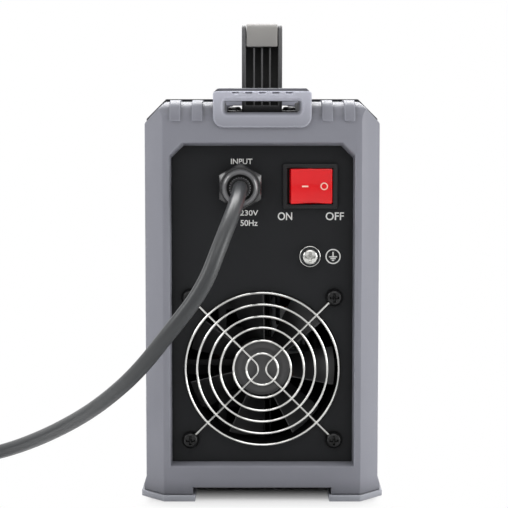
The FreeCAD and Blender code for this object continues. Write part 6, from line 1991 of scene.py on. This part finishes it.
@dataclass
class WireFeeder:
    """Feeder plate, rolls, pressure arm and the swing-away tensioner, in millimetres.

    Args:
        roll_y: Where the rolls start along their axes.
        pinch_x: Axis of the pressure roll across the machine.
        pinch_z: Height of that axis.
        drive_x: Axis of the drive roll across the machine.
        drive_z: Height of that axis.
        drive_radius: Radius of the drive roll.
        stud: Where the tension stud turns.
        lean: Its lean at rest in degrees.
        spring_low: Distance from there to the spring.
        spring_length: Length of the spring.
        spring_radius: Radius of its turns.
        spring_wire: Radius of its wire.
        spring_turns: Number of its turns.
        knurls: Number of ridges round the drive roll.
    """

    roll_y: float = 72.0
    pinch_z: float = 84.85
    pinch_x: float = 22.6
    drive_x: float = 22.0
    drive_z: float = 62.15
    drive_radius: float = 12.5
    stud: Point = (38.0, 50.0, 57.0)
    lean: float = 40.0
    spring_low: float = 45.2
    spring_length: float = 12.0
    spring_radius: float = 3.2
    spring_wire: float = 0.45
    spring_turns: float = 8.0
    knurls: int = 64

    ROUNDED = (("feeder_plate", 0.7), ("pressure_arm", 0.6), ("feeder_motor", 0.6), ("wire_guides", 0.35),
               ("drive_shaft", 0.4), ("tension_stud", 0.35), ("tension_knob", 0.6))
    BEARING = ((3.05, 0), (4.4, 0), (4.6, 0.5), (7.6, 0.5), (7.8, 0), (9.1, 0), (9.5, 0.4),
               (9.5, 6.6), (9.1, 7), (7.8, 7), (7.6, 6.5), (4.6, 6.5), (4.4, 7), (3.05, 7))
    KNURLED = ((1.0, 3.5), (6.5, 9.0))

    def build(self, shop: Workshop, book: PatternBook) -> None:
        """Dress the feeder.

        Args:
            shop: The workshop.
            book: The repeating rules.
        """
        for node, width in self.ROUNDED:
            shop.soften(node, width)
        bearing = turned("bearing", self.BEARING, 64)
        moved(bearing, self.pinch_x, self.roll_y, self.pinch_z, Facing.RIGHT.value)
        shop.piece("pressure_bearing", bearing, "pinch", "steel", replaces="pressure_roll")
        drive = self.drive_roll(book, shop.materials["steel"])
        moved(drive, self.drive_x, self.roll_y, self.drive_z, Facing.RIGHT.value)
        shop.piece("knurled_drive_roll", drive, "drive", "steel", replaces="drive_roll")
        spring = book.helix.run(empty_mesh(), shop.materials["steel"], Turns=self.spring_turns,
                                Coil_Radius=self.spring_radius * MM,
                                Height=(self.spring_length - 2 * self.spring_wire) * MM,
                                Wire_Radius=self.spring_wire * MM, Steps=28, Sides=8)
        moved(spring, z=self.spring_low + self.spring_wire)
        moved(spring, *self.stud, Matrix.Rotation(math.radians(self.lean), 4, "X"))
        shop.piece("tension_spring_turns", spring, "tensioner", "steel", replaces="tension_spring")

    def drive_roll(self, book: PatternBook, material: bpy.types.Material) -> bpy.types.Mesh:
        """Grooved roll with two rows of ridges.

        Args:
            book: The repeating rules.
            material: Material of the ridges.

        Returns:
            The roll with its axis along Z.
        """
        rim = self.drive_radius
        low, high, groove = rim - 0.6, rim - 0.3, rim - 0.8
        roll = turned("drive_roll", [
            (4, 0), (8.2, 0), (8.6, 0.6), (low, 0.6), (high, 0.9), (high, 3.6), (groove, 4.4), (groove, 5.6),
            (high, 6.4), (high, 9.1), (low, 9.4), (8.6, 9.4), (8.2, 10), (4, 10)], 96)
        parts = [roll]
        for start, end in self.KNURLED:
            ridge = prism("ridge", [(-0.35, -0.22), (0.28, 0.0), (-0.35, 0.22)], end - start)
            parts.append(book.ring.run(moved(ridge, z=start), material, Count=self.knurls, Radius=high * MM))
        return joined("drive_roll", parts)


@dataclass
class WireSpool:
    """Spool of welding wire with its turns, hub and screwed cap.

    Args:
        inner_x: Where the wound wire starts across the machine, in millimetres.
        y: Axis of the spool along Y.
        z: Height of the axis.
        width: Width of the wound wire.
        outer: Its outer radius.
        core: Its inner radius.
        wire: Radius of the wire.
    """

    inner_x: float = 11.2
    y: float = -52.0
    z: float = 140.0
    width: float = 41.0
    outer: float = 40.0
    core: float = 22.0
    wire: float = 0.45

    ROUNDED = (("wire_spool", 0.4), ("spool_hub", 0.5), ("spool_retainer", 0.6))

    def build(self, shop: Workshop, book: PatternBook) -> None:
        """Dress the spool and wind the wire.

        Args:
            shop: The workshop.
            book: The repeating rules.
        """
        for node, width in self.ROUNDED:
            shop.soften(node, width)
        height = self.width - 2 * self.wire
        helix = book.helix.run(empty_mesh(), shop.materials["wire_copper"], Turns=height / (2 * self.wire),
                               Coil_Radius=(self.outer - self.wire) * MM, Height=height * MM,
                               Wire_Radius=self.wire * MM, Steps=60, Sides=6)
        moved(helix, z=self.wire)
        under = self.outer - 1.2 * self.wire
        layers = turned("layers", [(self.core, 0.05), (under, 0.05), (under, self.width - 0.05),
                                   (self.core, self.width - 0.05)], 96)
        wound = joined("wound_turns", [helix, layers])
        moved(wound, self.inner_x, self.y, self.z, Facing.RIGHT.value)
        shop.piece("wound_turns", wound, "spool", "wire_copper", replaces="wound_wire")


@dataclass
class PowerUnit:
    """Inverter board with its small parts, capacitors, heat sinks, transformer and choke.

    Args:
        board_top: Height of the board's upper face, in millimetres.
        first_seed: Seed of the small parts on the first strip.
        choke: Middle of the choke's lower face.
        choke_inner: Inner radius of its turns.
        choke_outer: Outer radius of its turns.
        choke_height: Height of its turns.
        choke_wire: Radius of its wire.
        choke_bend: Radius of the wire's bends.
        choke_turns: Number of its turns.
        core_inset: Distance from the wire's middle to the core.
    """

    board_top: float = 122.45
    first_seed: int = 4
    choke: Point = (-27.95, 71.45, 8.85)
    choke_inner: float = 9.0
    choke_outer: float = 25.15
    choke_height: float = 24.0
    choke_wire: float = 0.75
    choke_bend: float = 2.5
    choke_turns: int = 30
    core_inset: float = 1.0

    STRIPS = ((-55.0, -42.5, -110.0, 22.0), (-13.5, -1.0, -110.0, 22.0), (-55.0, -1.0, 24.0, 51.0))

    def build(self, shop: Workshop, book: PatternBook) -> None:
        """Dress the electronics.

        Args:
            shop: The workshop.
            book: The repeating rules.
        """
        shop.soften("heat_sinks", 0.3, segments=1, finish="sink_black")
        shop.soften("capacitors", 0.9, segments=3)
        shop.soften("transformer", 0.6)
        strips, black = [], shop.materials["socket_black"]
        for number, sides in enumerate(self.STRIPS):
            strip = sheet("strip", *sides)
            strips.append(book.scatter.run(strip, black, Seed=self.first_seed + number))
        parts = moved(joined("board_parts", strips), z=self.board_top)
        shop.piece("board_parts", parts, "case", "socket_black")
        turns = book.ring.run(self.turn(), shop.materials["wire_copper"], Count=self.choke_turns, Radius=0.0)
        shop.piece("choke_turns", moved(turns, *self.choke), "case", "wire_copper", replaces="output_choke")
        shop.piece("choke_core", moved(self.core(), *self.choke), "case", "ferrite",
                   replaces="output_choke")

    def turn(self) -> bpy.types.Mesh:
        """One turn of the choke's wire, a rounded loop in the XZ plane."""
        wire, bend = self.choke_wire, self.choke_bend
        inner, outer = self.choke_inner + wire, self.choke_outer - wire
        low, high = wire, self.choke_height - wire
        corners = ((inner, low, 180), (outer, low, 270), (outer, high, 0), (inner, high, 90))
        loop = []
        for x, z, start in corners:
            centre_x = x + bend if x == inner else x - bend
            centre_z = z + bend if z == low else z - bend
            for step in range(5):
                angle = math.radians(start + 90 * step / 4)
                loop.append((centre_x + bend * math.cos(angle), 0.0, centre_z + bend * math.sin(angle)))
        return wire_mesh(loop, wire, closed=True)

    def core(self) -> bpy.types.Mesh:
        """Ring core inside the choke's turns."""
        inset = self.choke_wire + self.core_inset
        inner, outer = self.choke_inner + inset, self.choke_outer - inset
        low, high = 2 * self.core_inset, self.choke_height - 2 * self.core_inset
        return turned("core", [(inner, low), (outer, low), (outer, high), (inner, high)], 64)


def main() -> None:
    """Build the whole scene."""
    logging.basicConfig(level=logging.INFO, format="%(message)s")
    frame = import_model()
    studio = Studio()
    studio.camera()
    shop = Workshop(frame)
    book = PatternBook()
    MainsLead().build(shop)
    studio.light()
    studio.floor()
    CaseShell().build(shop)
    RearPrint().build(shop)
    FanGuard().build(shop, book)
    PanScrews().build(shop, book)
    EarthPoint().build(shop, book)
    MainsInlet().build(shop, book)
    RockerSwitch().build(shop)
    CoolingFan().build(shop, book)
    FrontControls().build(shop, book)
    WireFeeder().build(shop, book)
    WireSpool().build(shop, book)
    PowerUnit().build(shop, book)


if __name__ == "__main__":
    main()
